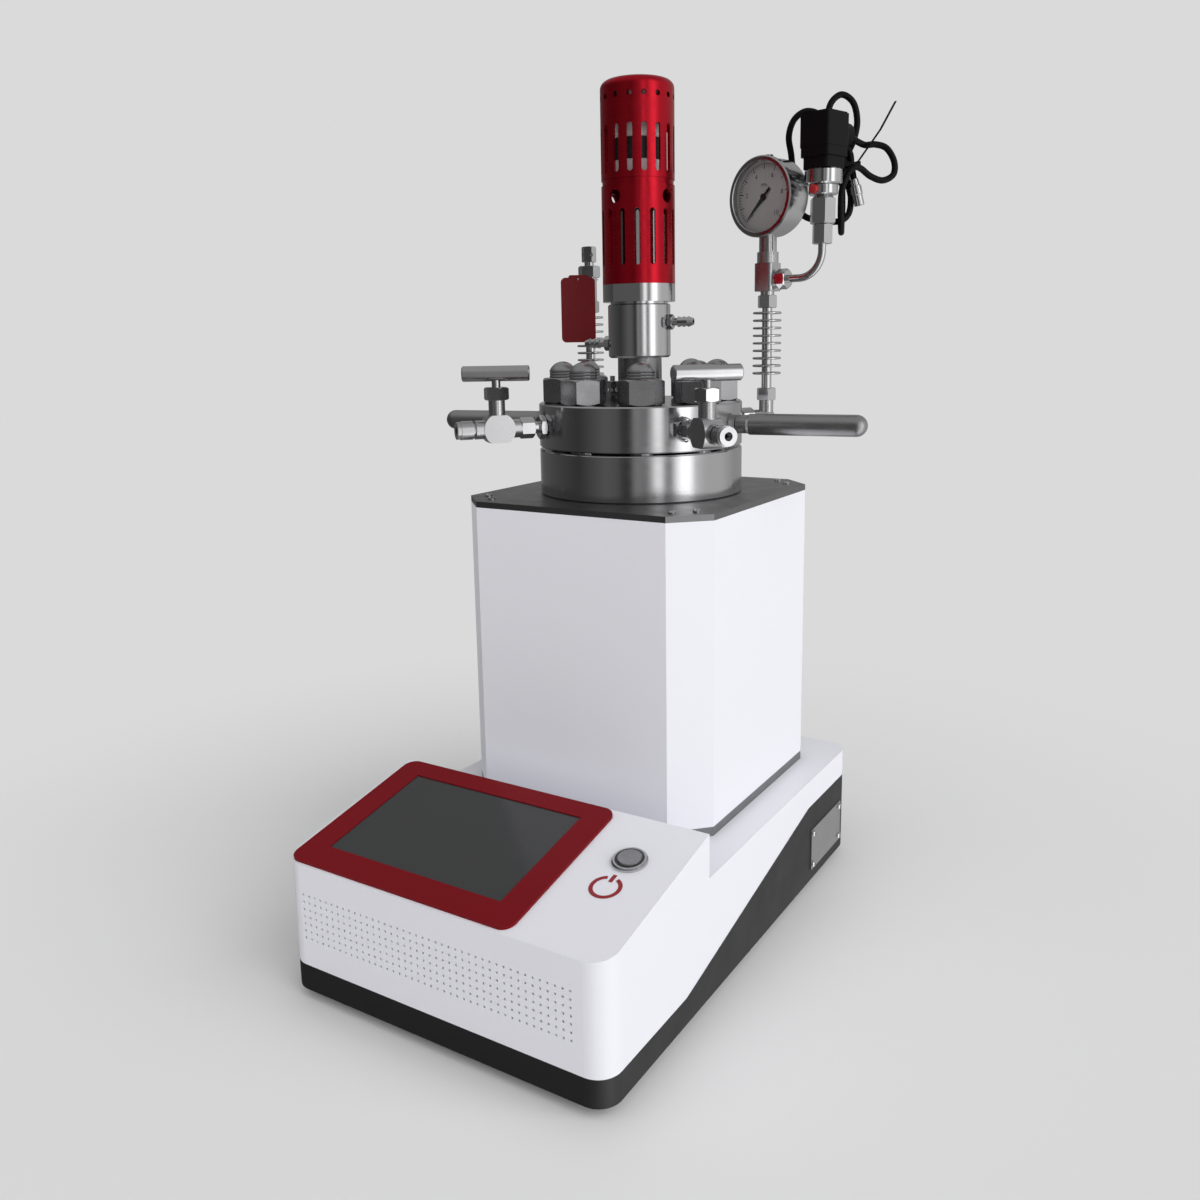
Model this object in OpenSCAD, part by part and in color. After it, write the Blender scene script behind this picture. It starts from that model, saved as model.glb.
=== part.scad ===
// Hydrothermal reactor: a stirred pressure vessel in a heated tower on a touch-screen console.
// Origin: centre of the base on the floor. X to the right, Y to the back, Z up, millimetres.

/* [Base and console] */
// Width of the base, side to side
base_w = 260; // [250:1:290]
// Depth of the base, front to back
base_d = 404; // [396:1:430]
// Radius of the base's upright corners
base_r = 16; // [10:1:22]
// Wall thickness of the folded sheet
sheet = 2; // [1.5:0.1:2.5]
// Height of the rubber feet
foot_h = 8; // [6:1:12]
// Diameter of the rubber feet
foot_d = 26; // [20:1:34]
// Distance of a foot's centre from the base's edges
foot_inset = 32; // [26:1:45]
// Height of the dark sill along the front
sill_h = 19; // [15:1:24]
// Height of the console's front edge above the floor
front_h = 101; // [96:1:108]
// Rise of the sloping panel, front to back
slope_rise = 26; // [20:1:32]
// Run of the sloping panel, front to back
slope_run = 131; // [122:1:134]
// Height of the deck behind the sloping panel
deck_h = 95.5; // [92:0.5:99]
// Height of the tray's side wall at the rear
side_h = 73.5; // [66:0.5:80]
// Distance from the front to where the side wall starts to rise
side_y0 = 98; // [80:1:120]
// Distance from the front to where the side wall is level again
side_y1 = 311; // [280:1:330]
// Diameter of a front vent hole
vent_d = 1.8; // [1.4:0.1:2.4]
// Spacing of the front vent holes
vent_pitch = 5.3; // [4.6:0.1:5.4]
// Number of vent holes in a row
vent_cols = 42; // [20:1:42]
// Number of rows of vent holes
vent_rows = 7; // [3:1:7]

/* [Screen and button] */
// Width of the red bezel
bezel_w = 186.8; // [172:0.2:190]
// White border round the bezel, at the left and along the slope
bezel_edge = 2; // [1:0.5:4]
// Corner radius of the bezel
bezel_r = 9; // [5:1:14]
// Thickness of the bezel
bezel_t = 2; // [1.5:0.5:3]
// Width of the touch screen
screen_w = 147; // [130:1:152]
// Length of the touch screen up the slope
screen_l = 93.5; // [84:0.5:100]
// Thickness of the touch screen glass
screen_t = 1.2; // [0.8:0.1:1.4]
// Depth of the display module behind the screen
module_t = 14; // [10:1:20]
// Distance of the power button from the right edge
button_x = 35; // [30:1:40]
// Distance of the power button up the slope
button_s = 89; // [80:1:100]
// Outer diameter of the button's ring
button_ring_d = 24; // [22:0.5:28]
// Diameter of the push cap
button_d = 16.5; // [14:0.5:18]
// Travel of the push cap
button_travel = 1.5; // [1:0.1:2]
// Depth of the button's barrel behind the panel
button_depth = 18; // [14:1:24]

/* [Nameplate] */
// Length of the plate on the right side
plate_l = 67.5; // [50:0.5:80]
// Height of the plate
plate_h = 34.8; // [26:0.2:38]
// Distance of the plate from the back
plate_back = 19.5; // [18:0.5:40]
// Height of the plate's lower edge above the floor
plate_z = 17.3; // [14:0.1:22]
// Thickness of the plate
plate_t = 1; // [0.6:0.1:1.5]

/* [Heater tower] */
// Width of the tower
tower_w = 210; // [200:1:224]
// Depth of the tower
tower_d = 216; // [204:1:224]
// Size of the tower's cut corners
tower_cut = 24.5; // [18:0.5:30]
// Distance of the vessel axis behind the base's centre
axis_y = 70; // [62:1:74]
// Thickness of the tower's dark base frame
frame_t = 7; // [5:0.5:9]
// Height of the tower's white shell
tower_h = 222.5; // [214:0.5:236]
// Thickness of the steel top plate
top_t = 4.5; // [3:0.5:6]
// Gap between the insulation and the tower's sheet
insul_gap = 7; // [4:0.5:12]
// Outer diameter of the heater block
heater_d = 132; // [122:1:150]
// Thickness of the heater block's floor
heater_floor = 20; // [12:1:30]

/* [Vessel and lid] */
// Diameter of both flanges
flange_d = 158; // [152:1:164]
// Thickness of the vessel's flange
flange_h = 35; // [32:0.5:40]
// Thickness of the lid
lid_h = 33.5; // [32:0.5:38]
// Thickness of the seal ring between the flanges
seal_t = 1.5; // [1:0.1:2.5]
// Radial width of the seal ring
seal_w = 5; // [3:0.5:6]
// Bore of the vessel cup
cup_bore = 72; // [70:0.5:74]
// Depth of the vessel cup
cup_depth = 125; // [112:1:132]
// Wall thickness of the vessel cup
cup_wall = 12; // [10:0.5:13]
// Thickness of the cup's floor
cup_floor = 14; // [10:0.5:18]
// Diameter of the stud circle
stud_pcd = 120; // [118:0.5:122]
// Diameter of a stud
stud_d = 20; // [18:0.5:21]
// Number of studs
stud_n = 8; // [8:8]
// Length of a stud above the lid
stud_out = 31.5; // [24:0.5:36]
// Depth of a stud in the vessel's flange
stud_in = 28; // [22:0.5:30]
// Size of the hex nuts across the flats
nut_af = 30; // [28:0.5:31]
// Height of the hex nuts
nut_h = 19; // [16:0.5:21]
// Angle of the right handle, counter-clockwise from X
head_turn = 8; // [4:0.5:12]
// Diameter of the handle bars
handle_d = 16; // [13:0.5:17]
// Length of a handle bar outside the lid
handle_l = 97; // [85:1:110]
// Diameter of a handle's neck next to the lid
handle_neck_d = 14; // [11:0.5:14]
// Length of a handle's neck
handle_neck_l = 8; // [5:0.5:12]
// Bore of the passages in the lid
passage_d = 5; // [4:0.5:5.5]
// Distance of the passages from the axis under the lid
passage_r = 28; // [26:0.5:29]

/* [Needle valves] */
// Distance of a valve's centre from the lid's rim
valve_reach = 37; // [36:0.5:42]
// Diameter of the valve's flow bar
valve_bar_d = 14; // [13:0.5:15]
// Diameter of the valve's round hub
valve_hub_d = 24; // [22:0.5:26]
// Width of the valve's round hub
valve_hub_w = 15; // [14:0.5:17]
// Length of the valve's flow bar beyond its centre, with the nut
valve_out = 31.5; // [29:0.5:36]
// Depth of the valve's hub under its flow line
valve_boss = 10; // [8:0.5:11]
// Height of the valve's neck above its flow line
valve_neck = 10.5; // [10:0.5:13]
// Length of the bonnet above the neck
bonnet_l = 11; // [9:0.5:14]
// Diameter of the bonnet
bonnet_d = 12.3; // [11:0.1:13]
// Height of the packing nut
pack_nut_h = 9.5; // [8:0.5:12]
// Size of the packing nut across the flats
pack_nut_af = 16.5; // [14:0.5:18]
// Diameter of the valve's stem
stem_d = 6.5; // [5:0.5:7]
// Height of the T bar's centre above the packing nut
bar_rise = 10; // [9:0.5:14]
// Diameter of the T bar
bar_d = 11.5; // [9:0.5:12]
// Length of the T bar
bar_l = 50; // [42:1:60]
// Resting direction of the left T bar
left_bar_angle = 32; // [0:1:90]
// Resting direction of the right T bar
right_bar_angle = 49; // [0:1:90]
// Size of the port nuts across the flats
port_af = 14; // [13:0.5:15]
// Bore of the valve's outlet
outlet_bore = 6; // [5:0.5:6.5]
// Depth of the tube's seat in the valves' outlets
outlet_in = 14; // [10:0.5:16]

/* [Gauge column] */
// Distance of the gauge column from the lid's rim
gauge_reach = 33.3; // [32:0.1:38]
// Height of the column nuts
col_nut_h = 10; // [8:0.5:11]
// Diameter of the stand-off tube
tube_d = 6; // [5:0.5:7]
// Diameter of a cooling fin
fin_d = 22; // [19:0.5:24]
// Thickness of a cooling fin
fin_t = 1.2; // [0.8:0.1:1.6]
// Spacing of the cooling fins
fin_pitch = 6; // [5:0.1:6.2]
// Number of cooling fins
fin_n = 9; // [6:1:9]
// Length of the stand-off tube between its nuts
fin_tube_l = 63.8; // [62:0.2:72]
// Width of the tee's body
tee_w = 16.5; // [15.5:0.5:18]
// Height of the tee's body
tee_h = 22; // [21:0.5:26]
// Distance from the tee's axis to the sensor's axis
arm_l = 49.2; // [47:0.2:56]
// Bend radius of the sensor's tube
bend_r = 20; // [17:0.5:21]
// Diameter of the gauge's socket
socket_d = 17; // [15:0.5:18]
// Length of the gauge's socket
socket_l = 8.5; // [7:0.5:11]
// Diameter of the gauge's stem
gauge_stem_d = 14; // [11:0.5:14.5]
// Length of the gauge's stem below its case
gauge_stem_l = 12.5; // [10:0.5:15]
// Diameter of the gauge's case
gauge_d = 60; // [56:0.5:63]
// Depth of the gauge's case behind the column's axis
gauge_back = 14; // [13:0.5:17]
// Depth of the gauge's case before the column's axis
gauge_front = 9; // [8.5:0.5:12]
// Wall of the gauge's case
gauge_wall = 1.5; // [1:0.1:2]
// Overhang of the bezel ring round the case
ring_over = 1; // [0.6:0.1:2]
// Depth of the bezel ring in front of the case
ring_t = 3; // [2.5:0.1:4]
// Turn of the dial from straight ahead
gauge_turn = -16; // [-40:1:20]

/* [Sensor] */
// Direction of the tee's side arm from X
arm_angle = -10; // [-16:0.5:-4]
// Height of the hex adapter
adapter_h = 19; // [15:0.5:23]
// Size of the hex adapter across the flats
adapter_af = 17.5; // [15:0.5:19]
// Diameter of the sensor's lower ring
ring_low_d = 22; // [19:0.5:25]
// Diameter of the sensor's body
sensor_d = 28.5; // [26:0.5:30]
// Height of the sensor's body
sensor_h = 11.3; // [9:0.1:14]
// Width of the plug's block
block_w = 27; // [25:0.5:29]
// Height of the plug's block
block_h = 25; // [24:0.5:27]
// Height of the plug's tapered foot
foot_plug_h = 15.7; // [13:0.1:18]
// Diameter of the cable gland
gland_d = 17.7; // [14:0.1:18]

/* [Disc column and tag] */
// Distance of the disc column from the lid's rim
disc_reach = 29; // [28:0.5:34]
// Diameter of the disc holder's stem
disc_stem_d = 12.5; // [11:0.5:14]
// Length of the disc holder's stem
disc_stem_l = 19.2; // [14:0.2:22]
// Height of the disc holder's hex
disc_hex_h = 10; // [9:0.5:15]
// Size of the disc holder's hex across the flats
disc_hex_af = 16.5; // [14:0.5:18]
// Width of the tag
tag_w = 29; // [24:0.5:34]
// Height of the tag
tag_h = 54; // [44:0.5:56]
// Thickness of the tag
tag_t = 0.8; // [0.5:0.1:1.2]

/* [Stirrer drive] */
// Diameter of the drive's neck
neck_d = 34; // [30:0.5:38]
// Height of the neck above the lid
neck_h = 33.5; // [31:0.5:36]
// Diameter of the cooling jacket
jacket_d = 48; // [45:0.5:50]
// Height of the cooling jacket
jacket_h = 40.4; // [39:0.2:44]
// Diameter of the collar and the red cover
cover_d = 55.4; // [54:0.2:57]
// Width of the collar across its flats
collar_flats = 51; // [48:0.5:53]
// Height of the collar
collar_h = 13; // [11:0.5:16]
// Height of the lower cover
cover_low_h = 72; // [71:0.5:76]
// Height of the seam between the covers
seam_h = 4; // [3:0.5:5]
// Height of the upper cover
cover_up_h = 71; // [69:0.5:78]
// Wall thickness of the covers
cover_wall = 2.2; // [1.6:0.1:2.4]
// Radius of the cover's top edge
cover_round = 6; // [3:0.5:8]
// Width of the long slots
slot_w = 4.2; // [3:0.1:5]
// Number of slots in the upper cover
up_slots = 16; // [12:1:18]
// Number of slots in the lower cover
low_slots = 15; // [12:1:18]
// Diameter of the isolation can
can_d = 24; // [22.5:0.1:24.4]
// Wall of the isolation can
can_wall = 1.4; // [1:0.1:1.6]
// Height of the magnets
magnet_h = 30; // [24:0.5:32]
// Diameter of the motor
motor_d = 40; // [36:0.5:46]
// Diameter of the stirrer's shaft
shaft_d = 8; // [7:0.5:9]
// Diameter of the impeller
impeller_d = 36; // [30:1:42]
// Height of the impeller's blades
blade_h = 12; // [8:0.5:16]
// Clearance of the impeller above the cup's floor
impeller_gap = 12; // [6:1:20]
// Outer diameter of a hose barb
barb_d = 8; // [7:0.5:9]
// Length of a hose barb outside the jacket
barb_l = 20; // [17:0.5:24]

/* [Fits] */
// Radial clearance of running fits
run_fit = 0.05; // [0.03:0.01:0.1]
// Clearance of pieces that only rest in place
rest_fit = 0.1; // [0.05:0.01:0.2]
// Gap round loose pieces
loose = 0.3; // [0.2:0.05:0.4]

/* [Hidden] */
$fn = 64;

// Heights of the faces that pieces sit on
z_sill = foot_h + sill_h;
z_tower = deck_h + frame_t;
z_top = z_tower + tower_h;
z_flange = z_top + top_t;
z_seal = z_flange + flange_h;
z_lid = z_seal + seal_t;
z_lid_top = z_lid + lid_h;
z_port = z_lid + lid_h / 2;
z_cup = z_seal - cup_depth;
z_cup_end = z_cup - cup_floor;
z_jacket = z_lid_top + neck_h;
z_collar = z_jacket + jacket_h;
collar_step = 1.6;
z_cover = z_collar + collar_step + collar_h;
z_seam = z_cover + cover_low_h;
z_up = z_seam + seam_h;
z_cap = z_up + cover_up_h;

// Base and slope
y_front = -base_d / 2;
y_back = base_d / 2;
y_ridge = y_front + slope_run;
slope_angle = atan2(slope_rise, slope_run);
slope_len = sqrt(slope_rise * slope_rise + slope_run * slope_run);
bezel_l = slope_len - 2 * bezel_edge;
bezel_x = -base_w / 2 + bezel_edge * 2 + bezel_w / 2;
screen_up = 2;
bezel_lip = 3;
module_w = screen_w + 2 * bezel_lip;
module_l = screen_l + 2 * bezel_lip;
barrel_d = button_ring_d - 5;
ring_h = 2.5;
cap_proud = 1;
cap_stem_d = 8;
inlet_w = 27;
inlet_h = 20;
inlet_z = foot_h + 24;
screw_d = 3;
screw_head_d = 5.5;
screw_head_h = 1.8;
screw_l = 6;

// Vessel, lid and ports
rim_r = flange_d / 2;
cup_d = cup_bore + 2 * cup_wall;
stud_a0 = head_turn + 22.5;
port_angles = [head_turn - 135, head_turn - 45, head_turn + 45, head_turn + 135];
a_left = port_angles[0];
a_right = port_angles[1];
a_gauge = port_angles[2];
a_disc = port_angles[3];
spigot_d = 10.8;
spigot_l = 12;
connector_af = 16;
connector_h = 5;
connector_neck_d = 9;
handle_pin_d = 10;
handle_pin_l = 16;
neck_in = 14;
well_angle = head_turn + 155;
well_r = 32;
well_d = 3.2;
nut_near = 9;
nut_far = 20;
valve_r = rim_r + valve_reach;
gauge_r = rim_r + gauge_reach;
disc_r = rim_r + disc_reach;

// Heights along the columns
elbow_h = 13.5;
z_col = z_port + elbow_h;
z_fins = z_col + col_nut_h;
z_nut_up = z_fins + fin_tube_l;
z_tee = z_nut_up + col_nut_h + 3;
z_arm = z_tee + 9;
z_socket = z_tee + tee_h;
z_gstem = z_socket + socket_l;
z_case = z_gstem + gauge_stem_l;
z_gauge = z_case + gauge_d / 2 - 0.5;

// Directions and centres of the gauge and the sensor
gauge_x = gauge_r * cos(a_gauge);
gauge_y = axis_y + gauge_r * sin(a_gauge);
dial_angle = gauge_turn - 90;
sensor_x = gauge_x + arm_l * cos(arm_angle);
sensor_y = gauge_y + arm_l * sin(arm_angle);
arm_nut = tee_w / 2 + 2;
z_bend = z_arm + bend_r;
z_snut = z_bend + 4.5;
z_adapter = z_snut + 14.75;
z_dome = z_adapter + adapter_h;
z_ring = z_dome + 2.25;
z_body = z_ring + 7.5;
z_plug = z_body + sensor_h;
z_block = z_plug + foot_plug_h;
z_plug_top = z_block + block_h;
gland_out = 30;
gland_z = z_block + 11.75;

// Drive
cover_r = cover_d / 2;
cover_ri = cover_r - cover_wall;
can_r = can_d / 2;
bush_h = 8;
can_seat = 12;
z_magnet = z_cover + 12;
z_bush = z_magnet + magnet_h + 2;
can_top = z_bush + 5 + 4;
rotor_gap = 1.5;
rotor_wall = 6.5;
z_rotor_roof = can_top + 2;
rotor_roof = 5;
z_motor = z_seam + 2;
motor_flange = 3;
motor_h = 48;
spigot_in = 3.5;

// Cable: radius, sides and turn of its rings
cable_d = 5;
dial_in = 5;
dial_t = 0.8;
glass_t = 1.6;
view_a = -58;
motor_shaft_d = 6;
barb_neck_d = 6;
barb_hex_af = 10;
barb_hex_h = 4;
barb_thread_l = 3.5;
barb_pitch = 4;
barb_bore = 3;
tie_gap = 0.8;
heater_bore_d = 8;
heater_bore_l = 70;
barb_places = [[head_turn, z_jacket + 26.5], [a_left - 39, z_jacket + 11.2]];
cable_sides = 10;

// Shared shapes
module ring(ro, ri, h) {
  difference() {
    cylinder(r = ro, h = h);
    translate([0, 0, -1]) cylinder(r = ri, h = h + 2);
  }
}

module hex(af, h) {
  cylinder(d = af / cos(30), h = h, $fn = 6);
}

// Hex nut with both ends chamfered
module nut(af, h, bore) {
  difference() {
    intersection() {
      hex(af, h);
      rotate_extrude()
        polygon([[0, 0], [af * 0.48, 0], [af * 0.58, af * 0.06], [af * 0.58, h - af * 0.06], [af * 0.48, h], [0, h]]);
    }
    translate([0, 0, -1]) cylinder(d = bore, h = h + 2);
  }
}

// Local X points away from the vessel axis
module around(a, r = 0, z = 0) {
  translate([0, axis_y, z]) rotate([0, 0, a]) translate([r, 0, 0]) children();
}

// Children drawn along +Z are laid along +X
module along_x() {
  rotate([0, 90, 0]) children();
}

module rrect(w, d, r) {
  square([w - 2 * r, d], center = true);
  square([w, d - 2 * r], center = true);
  for (x = [-1, 1], y = [-1, 1])
    translate([x * (w / 2 - r), y * (d / 2 - r)]) circle(r = r);
}

module base_plan(inset) {
  linear_extrude(200) rrect(base_w - 2 * inset, base_d - 2 * inset, base_r - inset);
}

// Side profile (Y, Z) extruded across the whole width
module side_cut(points) {
  translate([-base_w, 0, 0]) rotate([90, 0, 90]) linear_extrude(2 * base_w) polygon(points);
}

// Children are placed on the sloping panel: X across, Y up the slope, Z out of it
module on_slope(x, s) {
  translate([0, y_front, front_h]) rotate([slope_angle, 0, 0]) translate([x, s, 0]) children();
}

module cut_plan(w, d, c) {
  x = w / 2;
  y = d / 2;
  polygon([[x - c, -y], [x, -y + c], [x, y - c], [x - c, y], [-x + c, y], [-x, y - c], [-x, -y + c], [-x + c, -y]]);
}

// Corner screw places on the tower's top plate, a pair at each cut corner
module plate_screw_places() {
  m = 9;
  for (sx = [-1, 1], sy = [-1, 1], t = [-9, 9])
    translate([sx * (tower_w / 2 - tower_cut / 2 - m + t * 0.7), axis_y + sy * (tower_d / 2 - tower_cut / 2 - m - t * 0.7), z_flange])
      children();
}

// Corner screw places on the side plate
module name_screw_places() {
  for (y = [4, plate_l - 4], z = [4, plate_h - 4])
    translate([base_w / 2 + plate_t, y_back - plate_back - y, plate_z + z]) rotate([0, 90, 0]) children();
}

// Base and console
module base_tray() {
  color("dimgray")
  difference() {
    intersection() {
      base_plan(0);
      side_cut([[y_front, foot_h], [y_front, z_sill], [y_front + side_y0, z_sill], [y_front + side_y1, side_h], [y_back, side_h], [y_back, foot_h]]);
    }
    translate([0, 0, foot_h + sheet]) base_plan(sheet);
    // hole for the mains inlet
    translate([-inlet_w / 2 - rest_fit, y_back - sheet - 1, inlet_z - rest_fit])
      cube([inlet_w + 2 * rest_fit, sheet + 2, inlet_h + 2 * rest_fit]);
    name_screw_places() translate([0, 0, -8]) cylinder(d = screw_d + 2 * rest_fit, h = 9);
    // air slots in the floor
    for (y = [-60:12:60])
      translate([-40, y, foot_h - 1]) cube([80, 4, sheet + 2]);
  }
}

module rubber_feet() {
  color("black")
  for (x = [-1, 1], y = [-1, 1])
    translate([x * (base_w / 2 - foot_inset), y * (base_d / 2 - foot_inset), 0])
      rotate_extrude() polygon([[0, 0], [foot_d / 2 - 2, 0], [foot_d / 2 - 1, 1], [foot_d / 2, foot_h], [0, foot_h]]);
}

module console_shell() {
  y_in = y_ridge - sheet;
  z_in = front_h + slope_rise * (slope_run - sheet) / slope_run - sheet * 1.02;
  color("white")
  difference() {
    intersection() {
      base_plan(0);
      side_cut([[y_front, z_sill], [y_front, front_h], [y_ridge, front_h + slope_rise], [y_ridge, deck_h], [y_back, deck_h],
        [y_back, side_h], [y_front + side_y1, side_h], [y_front + side_y0, z_sill]]);
    }
    intersection() {
      base_plan(sheet);
      side_cut([[y_front - 1, 0], [y_front - 1, front_h - sheet * 1.02 - 0.2], [y_in, z_in], [y_in, deck_h - sheet], [y_back, deck_h - sheet], [y_back, 0]]);
    }
    // window for the display module and hole for the button
    on_slope(bezel_x, slope_len / 2 + screen_up)
      translate([-module_w / 2 - loose, -module_l / 2 - loose, -30]) cube([module_w + 2 * loose, module_l + 2 * loose, 40]);
    on_slope(base_w / 2 - button_x, button_s) translate([0, 0, -20]) cylinder(d = barrel_d + 2 * rest_fit, h = 40);
    // rows of vent holes through the front
    for (i = [0:vent_cols - 1], j = [0:vent_rows - 1])
      translate([(i - (vent_cols - 1) / 2) * vent_pitch - 3, y_front - 1, front_h - 21.5 - j * vent_pitch])
        rotate([-90, 0, 0]) cylinder(d = vent_d, h = sheet + 2);
    // way for the heater's leads
    translate([0, axis_y, deck_h - sheet - 1]) cylinder(d = 40, h = sheet + 2);
  }
}

module screen_bezel() {
  color("crimson")
  on_slope(bezel_x, slope_len / 2)
    difference() {
      linear_extrude(bezel_t) rrect(bezel_w, bezel_l, bezel_r);
      translate([-screen_w / 2 - rest_fit, screen_up - screen_l / 2 - rest_fit, -1])
        cube([screen_w + 2 * rest_fit, screen_l + 2 * rest_fit, bezel_t + 2]);
    }
}

module touch_screen() {
  color("black")
  on_slope(bezel_x, slope_len / 2 + screen_up)
    translate([-screen_w / 2, -screen_l / 2, 0]) cube([screen_w, screen_l, screen_t]);
}

module display_module() {
  color("dimgray")
  on_slope(bezel_x, slope_len / 2 + screen_up) {
    translate([-module_w / 2, -module_l / 2, -module_t]) cube([module_w, module_l, module_t]);
    translate([-module_w / 3, -module_l / 3, -module_t - 5]) cube([module_w * 2 / 3, module_l * 2 / 3, 6]);
  }
}

// Screwed housing of the power button: ring on the panel, barrel and lock nut behind it
module button_housing() {
  color("silver")
  on_slope(base_w / 2 - button_x, button_s)
    difference() {
      union() {
        rotate_extrude()
          polygon([[0, 0], [button_ring_d / 2, 0], [button_ring_d / 2, ring_h - 1], [button_ring_d / 2 - 1, ring_h], [0, ring_h]]);
        translate([0, 0, -button_depth]) cylinder(d = barrel_d, h = button_depth + 1);
        translate([0, 0, -sheet - rest_fit - 4]) hex(barrel_d + 5, 4);
      }
      translate([0, 0, -button_travel - 4]) cylinder(d = button_d + 2 * run_fit, h = 20);
      translate([0, 0, -button_depth + 3]) cylinder(d = cap_stem_d + 2 * run_fit, h = 20);
    }
}

// Push cap: a lightly dished head on a guide stem
module button_cap() {
  color("gainsboro")
  on_slope(base_w / 2 - button_x, button_s)
    rotate_extrude()
      polygon([[0, -button_depth + 3 + button_travel + 1], [cap_stem_d / 2, -button_depth + 3 + button_travel + 1], [cap_stem_d / 2, -3], [button_d / 2, -3],
        [button_d / 2, ring_h + cap_proud - 0.6], [button_d / 2 - 0.6, ring_h + cap_proud], [button_d / 4, ring_h + cap_proud - 0.3], [0, ring_h + cap_proud - 0.4]]);
}

module nameplate() {
  color("silver")
  difference() {
    translate([base_w / 2, y_back - plate_back - plate_l, plate_z]) cube([plate_t, plate_l, plate_h]);
    name_screw_places() translate([0, 0, -plate_t - 1]) cylinder(d = screw_d + 2 * rest_fit, h = plate_t + 2);
  }
}

// Pan head screw, head up, shank down from the origin
module pan_screw() {
  rotate_extrude()
    polygon([[0, -screw_l], [screw_d / 2, -screw_l], [screw_d / 2, 0], [screw_head_d / 2, 0], [screw_head_d / 2, screw_head_h * 0.5],
      [screw_head_d / 2 - 0.9, screw_head_h], [0.9, screw_head_h], [0.9, screw_head_h * 0.4], [0, screw_head_h * 0.4]]);
}

module panel_screws() {
  color("lightgray") {
    name_screw_places() pan_screw();
    plate_screw_places() pan_screw();
  }
}

// Three-pin mains inlet, its flange behind the rear wall
module mains_inlet() {
  color("black")
  translate([0, y_back, inlet_z + inlet_h / 2]) rotate([-90, 0, 0])
    difference() {
      union() {
        translate([0, 0, -sheet - 2.5]) linear_extrude(2.5) rrect(inlet_w + 14, inlet_h + 6, 4);
        translate([-inlet_w / 2, -inlet_h / 2, -24]) cube([inlet_w, inlet_h, 24]);
      }
      translate([-11, -6.5, -16]) cube([22, 13, 20]);
    }
  color("silver")
  for (x = [-7, 0, 7])
    translate([x - 1, y_back - 17, inlet_z + inlet_h / 2 + (x == 0 ? 2 : -1)]) cube([2, 14, 4]);
}

// Tower
module tower_frame() {
  color("dimgray")
  translate([0, axis_y, deck_h])
    difference() {
      linear_extrude(frame_t) cut_plan(tower_w, tower_d, tower_cut);
      translate([0, 0, -1]) cylinder(d = 40, h = frame_t + 2);
    }
}

module tower_shell() {
  color("white")
  translate([0, axis_y, z_tower])
    difference() {
      linear_extrude(tower_h) cut_plan(tower_w, tower_d, tower_cut);
      translate([0, 0, -1]) linear_extrude(tower_h + 2) cut_plan(tower_w - 2 * sheet, tower_d - 2 * sheet, tower_cut - sheet * 0.6);
    }
}

module top_plate() {
  color("silver")
  difference() {
    translate([0, axis_y, z_top]) linear_extrude(top_t) cut_plan(tower_w, tower_d, tower_cut);
    translate([0, axis_y, z_top - 1]) cylinder(d = cup_d + 2 * loose, h = top_t + 2);
    plate_screw_places() translate([0, 0, -top_t - 1]) cylinder(d = screw_d + 2 * rest_fit, h = top_t + 2);
  }
}

module insulation() {
  color("khaki")
  translate([0, axis_y, z_tower])
    difference() {
      cylinder(d = min(tower_w, tower_d) - 2 * sheet - 2 * insul_gap, h = tower_h);
      translate([0, 0, z_cup_end - loose - heater_floor - z_tower]) cylinder(d = heater_d + 2 * loose, h = tower_h);
      translate([0, 0, -1]) cylinder(d = 30, h = tower_h);
    }
}

// Cast heater block round the cup, with bores for six cartridge heaters
module heater_block() {
  zb = z_cup_end - loose - heater_floor;
  color("darkgray")
  translate([0, axis_y, 0])
    difference() {
      translate([0, 0, zb]) cylinder(d = heater_d, h = z_top - loose - zb);
      translate([0, 0, z_cup_end - loose]) cylinder(d = cup_d + 2 * loose, h = tower_h);
      for (i = [0:5])
        rotate([0, 0, i * 60]) translate([(cup_d + heater_d) / 4, 0, zb - 1]) cylinder(d = heater_bore_d, h = heater_bore_l);
    }
}

// Vessel: flange and cup turned from one piece
module vessel_body() {
  cr = cup_d / 2;
  br = cup_bore / 2;
  color("silver")
  difference() {
    translate([0, axis_y, 0])
      rotate_extrude()
        polygon([[0, z_cup_end], [cr - 4, z_cup_end], [cr, z_cup_end + 4], [cr, z_flange], [rim_r - 1, z_flange], [rim_r, z_flange + 1],
          [rim_r, z_seal - 1], [rim_r - 1, z_seal], [br + 1, z_seal], [br, z_seal - 1], [br, z_cup + 8], [br - 2, z_cup + 3],
          [br - 8, z_cup], [0, z_cup]]);
    for (i = [0:stud_n - 1])
      around(stud_a0 + i * 360 / stud_n, stud_pcd / 2, z_seal - stud_in - 2) cylinder(d = stud_d + 2 * rest_fit, h = stud_in + 3);
  }
}

module seal_ring() {
  color("dimgray")
  translate([0, axis_y, z_seal]) ring(cup_bore / 2 + 2 + seal_w, cup_bore / 2 + 2, seal_t);
}

module studs() {
  color("darkgray")
  for (i = [0:stud_n - 1])
    around(stud_a0 + i * 360 / stud_n, stud_pcd / 2, z_seal - stud_in)
      intersection() {
        cylinder(d = stud_d, h = stud_in + seal_t + lid_h + stud_out);
        translate([0, 0, stud_in + seal_t + lid_h + stud_out - stud_d * 0.56]) sphere_stack(stud_d * 0.56, stud_in + seal_t + lid_h + stud_out);
      }
}

// Ball with a wide column below its middle
module sphere_stack(r, l) {
  sphere(r = r);
  translate([0, 0, -l]) cylinder(r = r, h = l);
}

module stud_nuts() {
  color("silver")
  for (i = [0:stud_n - 1])
    around(stud_a0 + i * 360 / stud_n, stud_pcd / 2, z_lid_top) rotate([0, 0, 30]) nut(nut_af, nut_h, stud_d + 2 * rest_fit);
}

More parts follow.
